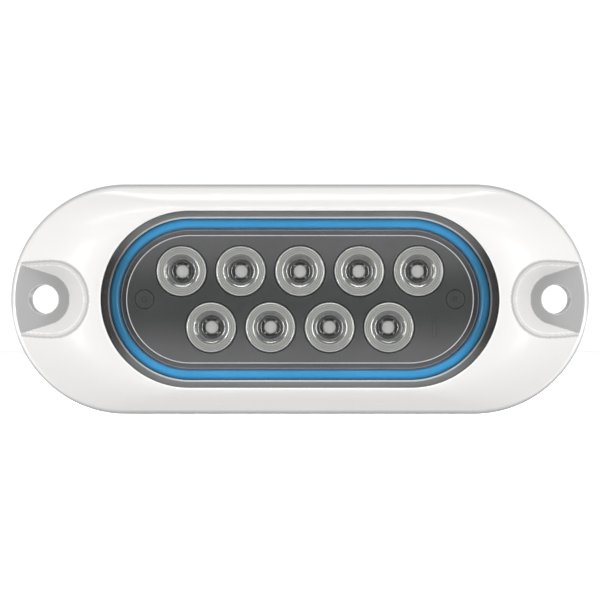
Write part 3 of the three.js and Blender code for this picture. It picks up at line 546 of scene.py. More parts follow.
MATERIALS = {
    "white_shell": shell_material(),
    "window_clear": clear_material(),
    "blue_seal": seal_material(),
    "dark_housing": housing_material(),
    "dark_panel": panel_material(),
    "optic_clear": optic_material(),
    "led_phosphor": led_material(),
    "black_rubber": gasket_material(),
}
GRAINED = {
    # dark and light colour, lowest and highest roughness, noise scale, grain strength, metallic
    "black_nylon": ((0.02, 0.02, 0.022), (0.034, 0.034, 0.036), (0.34, 0.48), 120, 0.3),
    "stainless": ((0.46, 0.46, 0.45), (0.62, 0.62, 0.61), (0.2, 0.34), 300, 0.2, 1.0),
    "brass_plain": ((0.5, 0.36, 0.16), (0.66, 0.49, 0.24), (0.25, 0.4), 260, 0.2, 1.0),
    "white_board": ((0.66, 0.66, 0.64), (0.76, 0.76, 0.74), (0.4, 0.5), 90),
    "green_board": ((0.01, 0.09, 0.04), (0.02, 0.14, 0.06), (0.3, 0.42), 110),
    "grey_pad": ((0.22, 0.23, 0.26), (0.3, 0.31, 0.34), (0.7, 0.85), 150),
    "ferrite": ((0.02, 0.018, 0.017), (0.05, 0.045, 0.042), (0.6, 0.8), 240),
    "capacitor_can": ((0.3, 0.34, 0.38), (0.42, 0.46, 0.5), (0.25, 0.35), 200, 0.2, 0.8),
    "black_chip": ((0.012, 0.012, 0.013), (0.025, 0.025, 0.026), (0.45, 0.6), 500),
    "green_terminal": ((0.015, 0.17, 0.08), (0.03, 0.24, 0.12), (0.35, 0.5), 180),
    "red_sleeve": ((0.4, 0.02, 0.012), (0.52, 0.035, 0.02), (0.4, 0.5), 260),
    "black_sleeve": ((0.012, 0.012, 0.012), (0.025, 0.025, 0.025), (0.4, 0.5), 260),
}
MATERIALS.update({name: grained(name, *values) for name, values in GRAINED.items()})


def finish_with(obj, slot):
    obj.data.materials.clear()
    obj.data.materials.append(MATERIALS[slot])


def settle(obj, body, slot, *nodes, angle=32):
    """Finishes a piece, puts it on its body and hides the CAD nodes it stands for."""
    finish_with(obj, slot)
    smooth(obj, angle)
    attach(obj, body)
    if nodes:
        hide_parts(*nodes)


# ---- bezel
def soft_min(a, b, k):
    """The lower of a and b, rounded over where they are within k of each other."""
    near = np.maximum(k - np.abs(a - b), 0) / k
    return np.minimum(a, b) - near * near * k / 4


def pocket(x, y):
    """Height of an ear's pocket over each point, and how far each point is from its middle line."""
    px, py = np.abs(x) - EAR_X, np.abs(y)
    along = px * math.cos(EAR_SPLAY) + py * math.sin(EAR_SPLAY)
    off = py * math.cos(EAR_SPLAY) - px * math.sin(EAR_SPLAY)
    reach = np.where(along < 0, np.hypot(px, py), np.maximum(off, 0))
    wall = EAR_FLOOR + (reach - EAR_FLOOR_RADIUS) / EAR_SLOPE
    return -soft_min(-wall, np.full_like(wall, -EAR_FLOOR), EAR_CORNER), reach


STRAIGHT_STEPS = 40  # steps along each straight side of the bezel


def case_screw_spots():
    return [middle(node)[:2] for node in CASE_SCREWS]


def sink_pockets(row, tone):
    """Lowers a loop of the bezel into the ears' pockets, and returns a tone for each of its points."""
    hollow, reach = pocket(row[:, 0], row[:, 1])
    height = row[:, 2]
    depth = height - hollow
    mouth = 2 * EAR_CHAMFER
    tones = np.full(len(row), tone)
    above = height > EAR_FLOOR - 0.5
    # painted shade on the chamfer's outer and inner half, a painted highlight line below it, and painted
    # shade on the screw's seat
    tones[above & (depth > -mouth) & (depth < 0)] = (CHAMFER_SHADE + MATT_SHADE) / 2
    tones[above & (depth >= 0) & (depth < mouth)] = (PLAIN + CHAMFER_SHADE) / 2
    tones[(depth > mouth) & (depth < mouth + 0.45)] = PAINTED_HIGHLIGHT
    tones[(reach < EAR_FLOOR_RADIUS + 0.1) & (height > EAR_FLOOR + 0.05)] = MATT_SHADE
    chamfer = (height + hollow) / 2 - EAR_CHAMFER
    row[:, 2] = np.maximum(soft_min(soft_min(height, chamfer, EDGE_SOFT), hollow, EDGE_SOFT), BACK)
    return tones


def outside_steps():
    """Half length, radius, z and tone of each loop, from the back edge up the side and over the dome."""
    side = BEZEL_RADIUS - SIDE_DRAFT
    # the back edge's loops and the lower side carry painted shade, which fades into the dome's white as the
    # side rises
    steps = [
        (BEZEL_HALF, BEZEL_RADIUS - 0.25, BACK, MATT_SHADE),
        (BEZEL_HALF, BEZEL_RADIUS - 0.03, BACK + 0.12, MATT_SHADE),
    ]
    for share in np.linspace(0.04, 1, 14):
        # painted shade on the side, darkest at the back edge
        tone = MATT_SHADE + (PLAIN - MATT_SHADE) * min(1, max(0, share - 0.25) / 0.5)
        height = BACK + (SIDE_TOP - BACK) * share
        steps.append((BEZEL_HALF, BEZEL_RADIUS - SIDE_DRAFT * share, height, tone))
    for inward in np.linspace(0, 1, 100)[1:]:
        half = BEZEL_HALF + (CORE_HALF - BEZEL_HALF) * inward
        radius = side + (WINDOW_RADIUS + WINDOW_ROUND - side) * inward
        rise = (DEPTH - SIDE_TOP) * (1 - (1 - inward) ** DOME_POWER)
        steps.append((half, radius, SIDE_TOP + rise, PLAIN))
    return steps


def inside_steps():
    """Radius, z and tone of each loop, from the window's rounded edge down to the back edge."""
    edge = WINDOW_RADIUS + WINDOW_ROUND
    steps = []
    # the window's rounded edge carries a painted highlight
    for angle in np.linspace(90, 180, 6)[1:]:
        turn = math.radians(angle)
        height = DEPTH - WINDOW_ROUND + WINDOW_ROUND * math.sin(turn)
        steps.append((edge + WINDOW_ROUND * math.cos(turn), height, PAINTED_HIGHLIGHT))
    steps.append((WINDOW_RADIUS, LENS_HIGH[2] + 0.05, PAINTED_HIGHLIGHT))
    # near-black painted shade in the gap round the window, the seal's rim and the housing
    gap_shaded = [
        (WINDOW_RADIUS, LENS_HIGH[2] - 0.05), (WINDOW_RADIUS, LENS_SHOULDER + GAP),
        (LENS_STEP_RADIUS + GAP, LENS_SHOULDER + GAP), (LENS_STEP_RADIUS + GAP, RIM_TOP + GAP),
        (BODY_RADIUS + GAP, RIM_TOP + GAP), (BODY_RADIUS + GAP, FLANGE_TOP + GAP),
        (FLANGE_RADIUS + GAP, FLANGE_TOP + GAP), (FLANGE_RADIUS + GAP, BACK),
    ]
    return steps + [(radius, z, GAP_SHADE) for radius, z in gap_shaded]


def bezel_rows():
    """The bezel's loops of points and their tones, from the back edge round to the back again."""
    angles = arc_angles(True)
    rows, tones = [], []
    for half, radius, z, tone in outside_steps():
        row = stadium(half, radius, z, angles, STRAIGHT_STEPS)
        tones.append(sink_pockets(row, tone))
        rows.append(row)
    for radius, z, tone in inside_steps():
        rows.append(stadium(CORE_HALF, radius, z, angles, STRAIGHT_STEPS))
        tones.append(np.full(len(rows[-1]), tone))
    return rows, tones


def ear_hole(side):
    """The cutter of one mounting hole, with a small chamfer at both mouths."""
    back, front = 0.3, 0.12
    profile = [
        (EAR_HOLE + back, BACK - LAP), (EAR_HOLE + back, BACK), (EAR_HOLE, BACK + back),
        (EAR_HOLE, EAR_FLOOR - front), (EAR_HOLE + front, EAR_FLOOR),
        (EAR_HOLE + front + LAP, EAR_FLOOR + LAP),
    ]
    return turned_data(profile, side * EAR_X, 0, 96)


def bezel():
    rows, tones = bezel_rows()
    obj = new_mesh("bezel_shell", np.concatenate(rows), skin(rows, True), np.concatenate(tones))
    cutters = [ear_hole(side) for side in (-1, 1)]
    for x, y in case_screw_spots():
        cutters.append(rod(CASE_PILOT_RADIUS, BACK - LAP, CASE_PILOT_TOP, x, y, 24))
    # the walls of the drilled holes take painted shade
    boolean(obj, joined("bezel_cutters", cutters, HOLE_SHADE), solver="EXACT")
    settle(obj, LIGHT, "white_shell", "bezel", angle=40)


# ---- window, seal and housing
def window_pane():
    """The clear window: a stepped edge that the bezel holds down, and a bevel round its face."""
    bevel, step_bevel = 0.3, 0.1
    profile = [
        (LENS_STEP_RADIUS - step_bevel, LENS_LOW[2]), (LENS_STEP_RADIUS, LENS_LOW[2] + step_bevel),
        (LENS_STEP_RADIUS, LENS_SHOULDER - step_bevel), (LENS_STEP_RADIUS - step_bevel, LENS_SHOULDER),
        (LENS_RADIUS, LENS_SHOULDER), (LENS_RADIUS, LENS_HIGH[2] - bevel),
        (LENS_RADIUS - bevel, LENS_HIGH[2]),
    ]
    obj = stadium_body("window_pane", profile)
    settle(obj, LIGHT, "window_clear", "lens")


def seal_ring():
    """A plump rubber section with a narrow flat land on its crown, where the window presses it."""
    low, high = SEAL_LOW[2], SEAL_HIGH[2]
    width, height = 2.8, high - low
    centre, level = SEAL_HIGH[1] - width / 2, (low + high) / 2
    steps, squareness, crown_width = 40, 0.9, 2.2
    profile = []
    for i in range(steps):
        a = 2 * math.pi * i / steps
        c, s = math.cos(a), math.sin(a)
        radius = centre + width / 2 * math.copysign(abs(c) ** squareness, c)
        z = level + height / 2 * math.copysign(abs(s) ** squareness, s)
        # tone 1 on the crown fading to 0 on the flanks and underside, for the seal's painted shade
        profile.append((radius, z, max(0, 1 - abs(c) ** crown_width) if s > 0 else 0))
    obj = stadium_body("seal_ring", profile, True)
    settle(obj, LIGHT, "blue_seal", "window_seal")


def housing_casting():
    """Flange, wall, rim and floor, with the rim falling a little towards the seal's groove."""
    fall = 0.35
    groove_top = RIM_TOP - fall
    # tone 1 on the groove's chamfer and 0.8 on the ledge paint highlight lines
    profile = [
        (FLANGE_RADIUS - 0.2, BACK, 0), (FLANGE_RADIUS, BACK + 0.2, 0),
        (FLANGE_RADIUS, FLANGE_TOP - 0.3, 0), (FLANGE_RADIUS - 0.3, FLANGE_TOP, 0),
        (BODY_RADIUS, FLANGE_TOP, 0), (BODY_RADIUS, RIM_TOP - 0.3, 0), (BODY_RADIUS - 0.3, RIM_TOP, 0),
        (WINDOW_RADIUS, RIM_TOP - 0.04, 0), (GROOVE_RADIUS + 0.36, groove_top, 0),
        (GROOVE_RADIUS + 0.3, groove_top, 1), (GROOVE_RADIUS - 0.02, groove_top, 1),
        (GROOVE_RADIUS - 0.12, groove_top - 0.1, 1), (GROOVE_RADIUS, groove_top - 0.3, 0),
        (GROOVE_RADIUS, LEDGE, 0), (GROOVE_RADIUS - 2.2, LEDGE, 0), (GROOVE_RADIUS - 2.4, LEDGE, 0.8),
        (GROOVE_RADIUS - 3.2, LEDGE, 0.8), (CAVITY_RADIUS, LEDGE, 0), (CAVITY_RADIUS, FLOOR, 0),
    ]
    obj = stadium_body("housing_casting", profile)
    cutters = [rod(GLAND_HOLE, BACK - LAP, FLOOR + LAP, *GLAND)]
    for x, y in case_screw_spots():
        steps = [
            (CASE_HEAD_HOLE + 0.12, BACK - LAP), (CASE_HEAD_HOLE + 0.12, BACK),
            (CASE_HEAD_HOLE, BACK + 0.15), (CASE_HEAD_HOLE, BACK + CASE_HEAD_DEPTH),
            (CASE_SHANK_HOLE, BACK + CASE_HEAD_DEPTH), (CASE_SHANK_HOLE, FLANGE_TOP + LAP),
        ]
        cutters.append(turned_data(steps, x, y, 32))
    boolean(obj, joined("housing_cutters", cutters))
    settle(obj, LIGHT, "dark_housing", "housing")


def mounting_gasket():
    """A rubber mat with raised beads on the face that meets the wall, so that it seals when pressed."""
    outer = MAT_HIGH[1]
    half = MAT_HIGH[0] - outer
    low, high = MAT_LOW[2], MAT_HIGH[2]
    groove, groove_steps = 0.3, ((0, 0), (0.35, 1), (1.15, 1), (1.5, 0))
    steps = [(outer - 0.15, high), (outer, high - 0.15), (outer, low + 0.2), (outer - 0.2, low)]
    for inset in (1.6, 4.2):
        steps += [(outer - inset - inward, low + groove * share) for inward, share in groove_steps]
    angles = arc_angles()
    rows = [stadium(half, radius, z, angles, 2) for radius, z in steps[::-1]]
    obj = new_mesh("gasket_mat", np.concatenate(rows), skin(rows))
    back, front = low - LAP, high + LAP
    cutters = [rod(MAT_GLAND_HOLE, back, front, *GLAND, 96)]
    for side in (-1, 1):
        cutters.append(rod(MAT_EAR_HOLE, back, front, side * EAR_X, 0))
    for x, y in case_screw_spots():
        cutters.append(rod(CASE_HEAD_HOLE, back, front, x, y, 32))
    boolean(obj, joined("gasket_cutters", cutters))
    settle(obj, LIGHT, "black_rubber", "mounting_gasket")


# ---- panel, optics and LEDs
def panel_cutters():
    """The optics' holes and the screws' stepped holes, each with a small bevel at its mouth."""
    hole = OPTIC_RADIUS + PANEL_HOLE_GAP
    optic_steps = [
        (hole, PANEL_BOTTOM - LAP), (hole, PANEL_TOP - 0.2), (hole + 0.2, PANEL_TOP),
        (hole + 0.2 + LAP, PANEL_TOP + LAP),
    ]
    seat = PANEL_TOP - PANEL_HEAD_DEPTH
    screw_steps = [
        (PANEL_SHANK_HOLE, PANEL_BOTTOM - LAP), (PANEL_SHANK_HOLE, seat), (PANEL_HEAD_HOLE, seat),
        (PANEL_HEAD_HOLE, PANEL_TOP - 0.12), (PANEL_HEAD_HOLE + 0.12, PANEL_TOP),
        (PANEL_HEAD_HOLE + 0.1 + LAP, PANEL_TOP + LAP),
    ]
    optic_holes = [turned_data(optic_steps, *middle(node)[:2], 72) for node in OPTICS]
    return optic_holes + [turned_data(screw_steps, *middle(node)[:2], 48) for node in PANEL_SCREWS]


def optic_panel():
    """The plate round the optics: a thin flange that is clamped, and a raised bevelled face."""
    flange_top = PANEL_BOTTOM + 0.8
    bevel = 0.16
    # tone 1 on the bevel and 0.65 at the flange's edge paint highlight lines
    profile = [
        (PANEL_FLANGE_RADIUS, PANEL_BOTTOM, 0), (PANEL_FLANGE_RADIUS, flange_top - 0.1, 0),
        (PANEL_FLANGE_RADIUS - 0.1, flange_top, 0.65), (PANEL_FLANGE_RADIUS - 0.3, flange_top, 0),
        (PANEL_RADIUS, flange_top, 0), (PANEL_RADIUS, PANEL_TOP - bevel - 0.1, 0),
        (PANEL_RADIUS, PANEL_TOP - bevel, 1), (PANEL_RADIUS - 0.06, PANEL_TOP - 0.04, 1),
        (PANEL_RADIUS - 0.24, PANEL_TOP, 1), (PANEL_RADIUS - 0.3, PANEL_TOP, 0),
    ]
    obj = stadium_body("panel_plate", profile)
    boolean(obj, joined("panel_cutters", panel_cutters()))
    settle(obj, LIGHT, "dark_panel", "optic_panel")


def panel_key():
    """The small upright rib at the panel's lower right, part of the same moulding."""
    width, height, rise, edge, from_end = 1.1, 5.4, 0.15, 0.12, 10.75
    steps, side_bow, end_bow = 24, 0.5, 0.25
    x = CORE_HALF + PANEL_RADIUS - from_end
    y = middle("optic_6")[1]
    rows = []
    for inset, z in ((0, PANEL_TOP - 0.3), (0, PANEL_TOP + rise - edge), (edge, PANEL_TOP + rise)):
        loop = []
        for i in range(steps):
            a = 2 * math.pi * i / steps
            c, s = math.cos(a), math.sin(a)
            across = (width / 2 - inset) * math.copysign(abs(c) ** side_bow, c)
            up = (height / 2 - inset) * math.copysign(abs(s) ** end_bow, s)
            loop.append((x + across, y + up, z))
        rows.append(np.array(loop))
    obj = new_mesh("panel_key", np.concatenate(rows), skin(rows), np.zeros(len(rows) * steps))
    settle(obj, LIGHT, "dark_panel")


# The tones paint the optic's look: painted highlights on its rim, its light rings and its facets, and
# painted shade deep in its cone.
OPTIC_PROFILE = [
    # radius, depth below the optic's face, tone
    (6.70, 1.20, 0.60), (6.70, 0.16, 0.70), (6.60, 0.06, 0.85), (6.50, 0.00, 0.95), (6.38, 0.00, 0.95),
    (6.26, 0.06, 0.58), (6.14, 0.06, 0.58), (5.98, 0.01, 0.76), (5.86, 0.01, 0.76), (5.72, 0.05, 0.64),
    (5.56, 0.05, 0.60), (5.42, 0.02, 0.72), (5.30, 0.02, 0.72), (5.16, 0.06, 0.64), (5.02, 0.07, 0.60),
    (4.92, 0.08, 0.72), (4.81, 0.121, 0.72), (4.70, 0.168, 0.72), (4.59, 0.22, 0.66), (4.48, 0.278, 0.50),
    (4.46, 0.60, 0.22), (4.44, 0.84, 0.22), (4.40, 0.88, 0.40), (4.25, 0.965, 0.40), (4.10, 1.055, 0.40),
    (3.95, 1.151, 0.35), (3.90, 1.18, 0.22), (3.76, 1.20, 0.22), (3.69, 1.228, 0.35), (3.62, 1.259, 0.35),
    (3.55, 1.295, 0.30), (3.50, 1.42, 0.22),
    (3.42, 1.62, 0.15), (3.26, 2.10, 0.06), (3.00, 2.80, 0.00), (2.76, 3.40, 0.00), (2.68, 3.50, 0.10),
    (2.60, 3.54, 0.25), (2.52, 3.62, 0.20), (2.48, 3.90, 0.05), (2.48, 4.80, 0.00), (2.90, 5.20, 0.00),
    (3.40, 6.00, 0.00), (3.60, 6.10, 0.00), (4.30, 4.60, 0.10), (5.00, 3.20, 0.10), (5.60, 1.90, 0.10),
    (6.00, 1.20, 0.20),
]


def optics():
    """Nine turned collimators, with facets that are wide enough to catch the lights."""
    profile = [(radius, OPTIC_TOP - depth, tone) for radius, depth, tone in OPTIC_PROFILE]
    for number, node in enumerate(OPTICS, 1):
        obj = turned("collimator_%d" % number, profile, *middle(node)[:2], 72)
        obj.data.flip_normals()
        settle(obj, LIGHT, "optic_clear", node, angle=11)


def square_row(half, corner, z, x, y):
    """One square loop of points with rounded corners."""
    steps = 4
    loop = []
    for cx, cy, start in ((1, 1, 0), (-1, 1, 90), (-1, -1, 180), (1, -1, 270)):
        for i in range(steps + 1):
            a = math.radians(start + 90 * i / steps)
            across = cx * (half - corner) + corner * math.cos(a)
            up = cy * (half - corner) + corner * math.sin(a)
            loop.append((x + across, y + up, z))
    return np.array(loop)


DOME_RADIUS = 1.84
DOME_ROUND = 0.4
POST_RADIUS = 0.32
POST_REACH = 2.14  # middle of the LED to the middle of a post


def led_dome(foot, crown):
    """[radius, z] steps of a low dome with a rounded shoulder and a nearly flat crown."""
    shoulder = crown - 0.5
    steps = [(DOME_RADIUS, foot), (DOME_RADIUS, shoulder)]
    for i in range(1, 9):
        a = math.radians(90 * i / 8)
        radius = DOME_RADIUS - DOME_ROUND + DOME_ROUND * math.cos(a)
        steps.append((radius, shoulder + DOME_ROUND * math.sin(a)))
    return steps + [(0.8, crown - 0.03), (0.02, crown)]


def led_parts(x, y):
    """Points and faces of an LED's base, its dome, and its four posts."""
    half = (LED_HIGH[0] - LED_LOW[0]) / 2
    edge = 0.08
    low, top, crown = LED_LOW[2], LED_LOW[2] + 0.8, LED_HIGH[2]
    rows = [
        square_row(half, 0.25, low, x, y),
        square_row(half, 0.25, top - edge, x, y),
        square_row(half - edge, 0.2, top, x, y),
    ]
    parts = [(np.concatenate(rows), skin(rows)), turned_data(led_dome(top - 0.1, crown), x, y, 48)]
    post = [
        (POST_RADIUS, top - 0.1), (POST_RADIUS, crown - 0.75), (POST_RADIUS - 0.08, crown - 0.66),
        (0.01, crown - 0.64),
    ]
    for turn in (45, 135, 225, 315):
        a = math.radians(turn)
        parts.append(turned_data(post, x + POST_REACH * math.cos(a), y + POST_REACH * math.sin(a), 16))
    return parts


def led_chips():
    """Ceramic packages, each with a low silicone dome and a small post at each corner."""
    for number, node in enumerate(LEDS, 1):
        parts = led_parts(*middle(node)[:2])
        tones = [np.full(len(points), float(place == 1)) for place, (points, _) in enumerate(parts)]
        obj = joined("led_chip_%d" % number, parts, np.concatenate(tones))
        settle(obj, LIGHT, "led_phosphor", node, angle=40)


# ---- screws
CASE_CAP = {"head": 1.75, "head_height": 1.3, "shank": 1.0, "key": 0.65, "bite": 0.55}
BOARD_CAP = {"head": 1.9, "head_height": 1.2, "shank": 0.8, "key": 0.6, "bite": 0.55}
PANEL_CAP = {"head": 2.56, "head_height": 0.85, "shank": 0.95, "key": 0.7, "bite": 0.2}
RIDGE_PITCH = 0.45
RIDGE_ROOT = 0.84  # a ridge's root, as a share of the shank's radius


def screw_profile(size, length):
    """[radius, z] steps from a ridged shank's tip to the socket's mouth, with z = 0 under the head."""
    head, top, shank = size["head"], size["head_height"], size["shank"]
    edge = 0.16
    profile = [(shank * 0.6, -length), (shank, -length + 0.4)]
    z = -length + 0.4
    while z + RIDGE_PITCH < -0.4:
        profile += [(shank * RIDGE_ROOT, z + RIDGE_PITCH / 2), (shank, z + RIDGE_PITCH)]
        z += RIDGE_PITCH
    profile += [(shank, 0), (head - edge, 0), (head, edge), (head, top - 2 * edge)]
    for i in range(1, 5):
        a = math.radians(90 * i / 4)
        profile.append((head - 2 * edge + 2 * edge * math.cos(a), top - 2 * edge + 2 * edge * math.sin(a)))
    return profile + [(size["key"] + 0.18, top)]


def screw_piece(name, node, slot, size, flip=False):
    """A cap screw with a rounded head and a hexagon socket; a flipped one has its head at the back."""
    low, high = local_box(node)
    x, y = (low[:2] + high[:2]) / 2
    top, key, bevel = size["head_height"], size["key"], 0.14
    sign = -1 if flip else 1
    seat = low[2] + top if flip else high[2] - top
    bottom = top * (1 - size["bite"])
    socket = [(key + bevel, top + 0.5), (key + bevel, top), (key, top - bevel), (key, bottom)]
    profile = screw_profile(size, high[2] - low[2] - top)
    obj = new_mesh(name, *turned_data([(r, seat + sign * z) for r, z in profile], x, y, 40))
    cutter = new_mesh("socket_cutter", *turned_data([(r, seat + sign * z) for r, z in socket], x, y, 6))
    inside_out = obj if flip else cutter
    inside_out.data.flip_normals()
    boolean(obj, cutter)
    settle(obj, LIGHT, slot, node)


def screws():
    for number, node in enumerate(CASE_SCREWS, 1):
        screw_piece("case_cap_screw_%d" % number, node, "stainless", CASE_CAP, True)
    for number, node in enumerate(BOARD_SCREWS, 1):
        screw_piece("board_cap_screw_%d" % number, node, "stainless", BOARD_CAP)
    for side, node in zip(("left", "right"), PANEL_SCREWS):
        screw_piece("panel_cap_screw_" + side, node, "dark_panel", PANEL_CAP)


# ---- cable gland
GLAND_LOW, GLAND_HIGH = local_box("gland_body")
HEX_TOP = -0.1
HEX_BACK = -4.1
HEX_BEVEL = 0.8
THREAD_RADIUS = 6.4
THREAD_DEPTH = 0.55
THREAD_PITCH = 1.5
NUT_THREAD_RADIUS = 6.55
NUT_BEVEL = 1.15
NUT_HOLE = 3.7
INNER_THREAD_RADIUS = 4.9
SEAL_SEAT_RADIUS = 4.7
SEAL_SEAT_DEPTH = 2.5
BORE = 3.3
RING_BORE = 3.5
JOIN = 0.02  # how far two turned lengths of the fitting reach into each other


def hexagon(name, flats, low, high, bevel):
    """A hexagonal bar with turned chamfers at both ends."""
    corner = flats / math.sqrt(3)
    rows = [ring_row(corner, z, 6, *GLAND) for z in (low, high)]
    bar = new_mesh(name, np.concatenate(rows), skin(rows))
    crown = [
        (flats / 2 - 0.15, low - 0.01), (corner + 0.05, low + bevel), (corner + 0.05, high - bevel),
        (flats / 2 - 0.15, high + 0.01),
    ]
    return boolean(bar, new_mesh("crown", *turned_data(crown, *GLAND, 48)), "INTERSECT")


def threaded(low, high):
    """A tube with a helical thread outside, as points and faces."""
    steps = 72
    root = THREAD_RADIUS - THREAD_DEPTH
    x, y = GLAND
    rows = [ring_row(SEAL_SEAT_RADIUS, low, steps, x, y), ring_row(root - 0.1, low, steps, x, y)]
    turn = np.arange(steps) * 2 * math.pi / steps
    for z in np.arange(low + 0.3, high - 0.2, THREAD_PITCH / 8):
        phase = ((z - low) / THREAD_PITCH - turn / (2 * math.pi)) % 1
        tooth = np.clip(np.abs(phase - 0.5) * 2 * 1.5 - 0.25, 0, 1)
        fade = min(1, (z - low) / (THREAD_PITCH * 0.7))
        r = root + THREAD_DEPTH * tooth * fade
        rows.append(np.column_stack((x + r * np.cos(turn), y + r * np.sin(turn), np.full(steps, z))))
    rows.append(ring_row(root, high, steps, x, y))
    rows.append(ring_row(SEAL_SEAT_RADIUS, high, steps, x, y))
    return np.concatenate(rows), skin(rows, True)


def mesh_data(obj):
    """An object's own points and faces."""
    points = np.array([v.co for v in obj.data.vertices])
    return points, [tuple(p.vertices) for p in obj.data.polygons]


def add_mesh(obj, other):
    """Gives obj the points and faces of both, side by side, and removes other."""
    points, faces = mesh_data(obj)
    more_points, more_faces = mesh_data(other)
    faces += [tuple(len(points) + i for i in face) for face in more_faces]
    mesh = bpy.data.meshes.new(obj.name)
    mesh.from_pydata(np.concatenate((points, more_points)).tolist(), [], faces)
    bpy.data.objects.remove(other)
    obj.data = mesh


def gland_body():
    """The fitting: a hexagon, the thread that enters the housing, and the longer one that takes the nut."""
    end, inner_top = GLAND_LOW[2], GLAND_HIGH[2]
    obj = hexagon("gland_fitting", GLAND_HIGH[0] - GLAND_LOW[0], HEX_BACK, HEX_TOP, HEX_BEVEL)
    boolean(obj, joined("gland_bore", [rod(BORE, HEX_BACK - LAP, HEX_TOP + LAP, *GLAND)]))
    into_housing = [
        (BORE, HEX_TOP - JOIN), (INNER_THREAD_RADIUS, HEX_TOP - JOIN),
        (INNER_THREAD_RADIUS, inner_top - 0.4), (INNER_THREAD_RADIUS - 0.4, inner_top), (BORE, inner_top),
    ]
    seal_seat = [
        (BORE, HEX_BACK - SEAL_SEAT_DEPTH), (SEAL_SEAT_RADIUS + JOIN, HEX_BACK - SEAL_SEAT_DEPTH),
        (SEAL_SEAT_RADIUS + JOIN, HEX_BACK + JOIN), (BORE, HEX_BACK + JOIN),
    ]
    rings = [turned_data(profile, *GLAND, 64, True) for profile in (into_housing, seal_seat)]
    add_mesh(obj, joined("gland_shank", [threaded(end, HEX_BACK + JOIN), *rings]))
    settle(obj, LIGHT, "black_nylon", "gland_body", angle=28)


def gland_nut():
    low, high = local_box("gland_nut")
    back, front = low[2], high[2]
    obj = hexagon("gland_cap_nut", high[0] - low[0], back, front, NUT_BEVEL)
    cap_top = local_box("gland_ring")[0][2] - GAP
    profile = [
        (NUT_HOLE + 0.7, back - 0.3), (NUT_HOLE + 0.45, back), (NUT_HOLE + 0.12, back + 0.18),
        (NUT_HOLE, back + 0.6), (NUT_HOLE, cap_top), (NUT_THREAD_RADIUS, cap_top),
        (NUT_THREAD_RADIUS, front - 0.35), (NUT_THREAD_RADIUS + 0.4, front + 0.05),
        (NUT_THREAD_RADIUS + 0.65, front + 0.5),
    ]
    boolean(obj, joined("nut_bore", [turned_data(profile, *GLAND, 72)]))
    settle(obj, NUT, "black_nylon", "gland_nut", angle=28)


def ring_span(node):
    """A ring's outer radius, and the heights of its two faces."""
    low, high = local_box(node)
    return (high[0] - low[0]) / 2, low[2], high[2]


def gland_o_ring():
    outer, low, high = ring_span("gland_oring")
    wire = 0.6
    level, half = (low + high) / 2, (high - low) / 2
    angles = np.linspace(0, 2 * math.pi, 25)[:-1]
    section = [(outer - wire + wire * math.cos(a), level + half * math.sin(a)) for a in angles]
    settle(turned("gland_o_ring", section, *GLAND, 72), LIGHT, "black_rubber", "gland_oring")


def gland_rubber_seal():
    outer, low, high = ring_span("gland_seal")
    profile = [
        (BORE, low + 0.15), (BORE + 0.15, low), (outer - 0.4, low), (outer, low + 0.4), (outer, high),
        (BORE, high),
    ]
    settle(turned("gland_rubber_seal", profile, *GLAND), LIGHT, "black_rubber", "gland_seal")


def gland_thrust_ring():
    outer, low, high = ring_span("gland_ring")
    inner_edge, outer_edge = 0.12, 0.15
    profile = [
        (RING_BORE, low + inner_edge), (RING_BORE + inner_edge, low), (outer - outer_edge, low),
        (outer, low + outer_edge), (outer, high - outer_edge), (outer - outer_edge, high),
        (RING_BORE + inner_edge, high), (RING_BORE, high - inner_edge),
    ]
    settle(turned("gland_thrust_ring", profile, *GLAND), RING, "brass_plain", "gland_ring")


# ---- pieces kept from the CAD model
KEPT = {
    "led_board": "white_board", "thermal_pad": "grey_pad", "driver_board": "green_board",
    "driver_insulator": "grey_pad", "inductor": "ferrite", "input_capacitor": "capacitor_can",
    "output_capacitor": "capacitor_can", "driver_chip": "black_chip", "board_link": "brass_plain",
    "terminal_block": "green_terminal", "lead_red": "red_sleeve", "lead_black": "black_sleeve",
}


def kept_nodes():
    """The inner pieces that keep their CAD meshes get a finish of their own."""
    for node, slot in KEPT.items():
        finish_with(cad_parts[node], slot)


# ---- stage, light and camera
def area_light(name, place, size, radiance, target=(0, 0, 0)):
    """A soft rectangle of light at a place in metres, facing the target."""
    data = bpy.data.lights.new(name, "AREA")
    data.shape = "RECTANGLE"
    data.size, data.size_y = size
    data.energy = radiance * math.pi * size[0] * size[1]
    obj = bpy.data.objects.new(name, data)
    bpy.context.scene.collection.objects.link(obj)
    obj.location = place
    obj.rotation_mode = "QUATERNION"
    obj.rotation_quaternion = (Vector(target) - Vector(place)).to_track_quat("-Z", "Y")
    obj.visible_camera = False
    return obj


# Place and grey from straight ahead of the light, 0, to straight behind it, 1
ROOM_DEPTH = [(0.011, 0.14), (0.067, 1.0), (0.5, 1.0), (0.65, 0.78), (0.955, 0.74), (0.98, 1.1)]
# Place and grey from the horizon, 0, to overhead, 1
ROOM_HEIGHT = [(0.2, 1.0), (0.85, 0.45)]


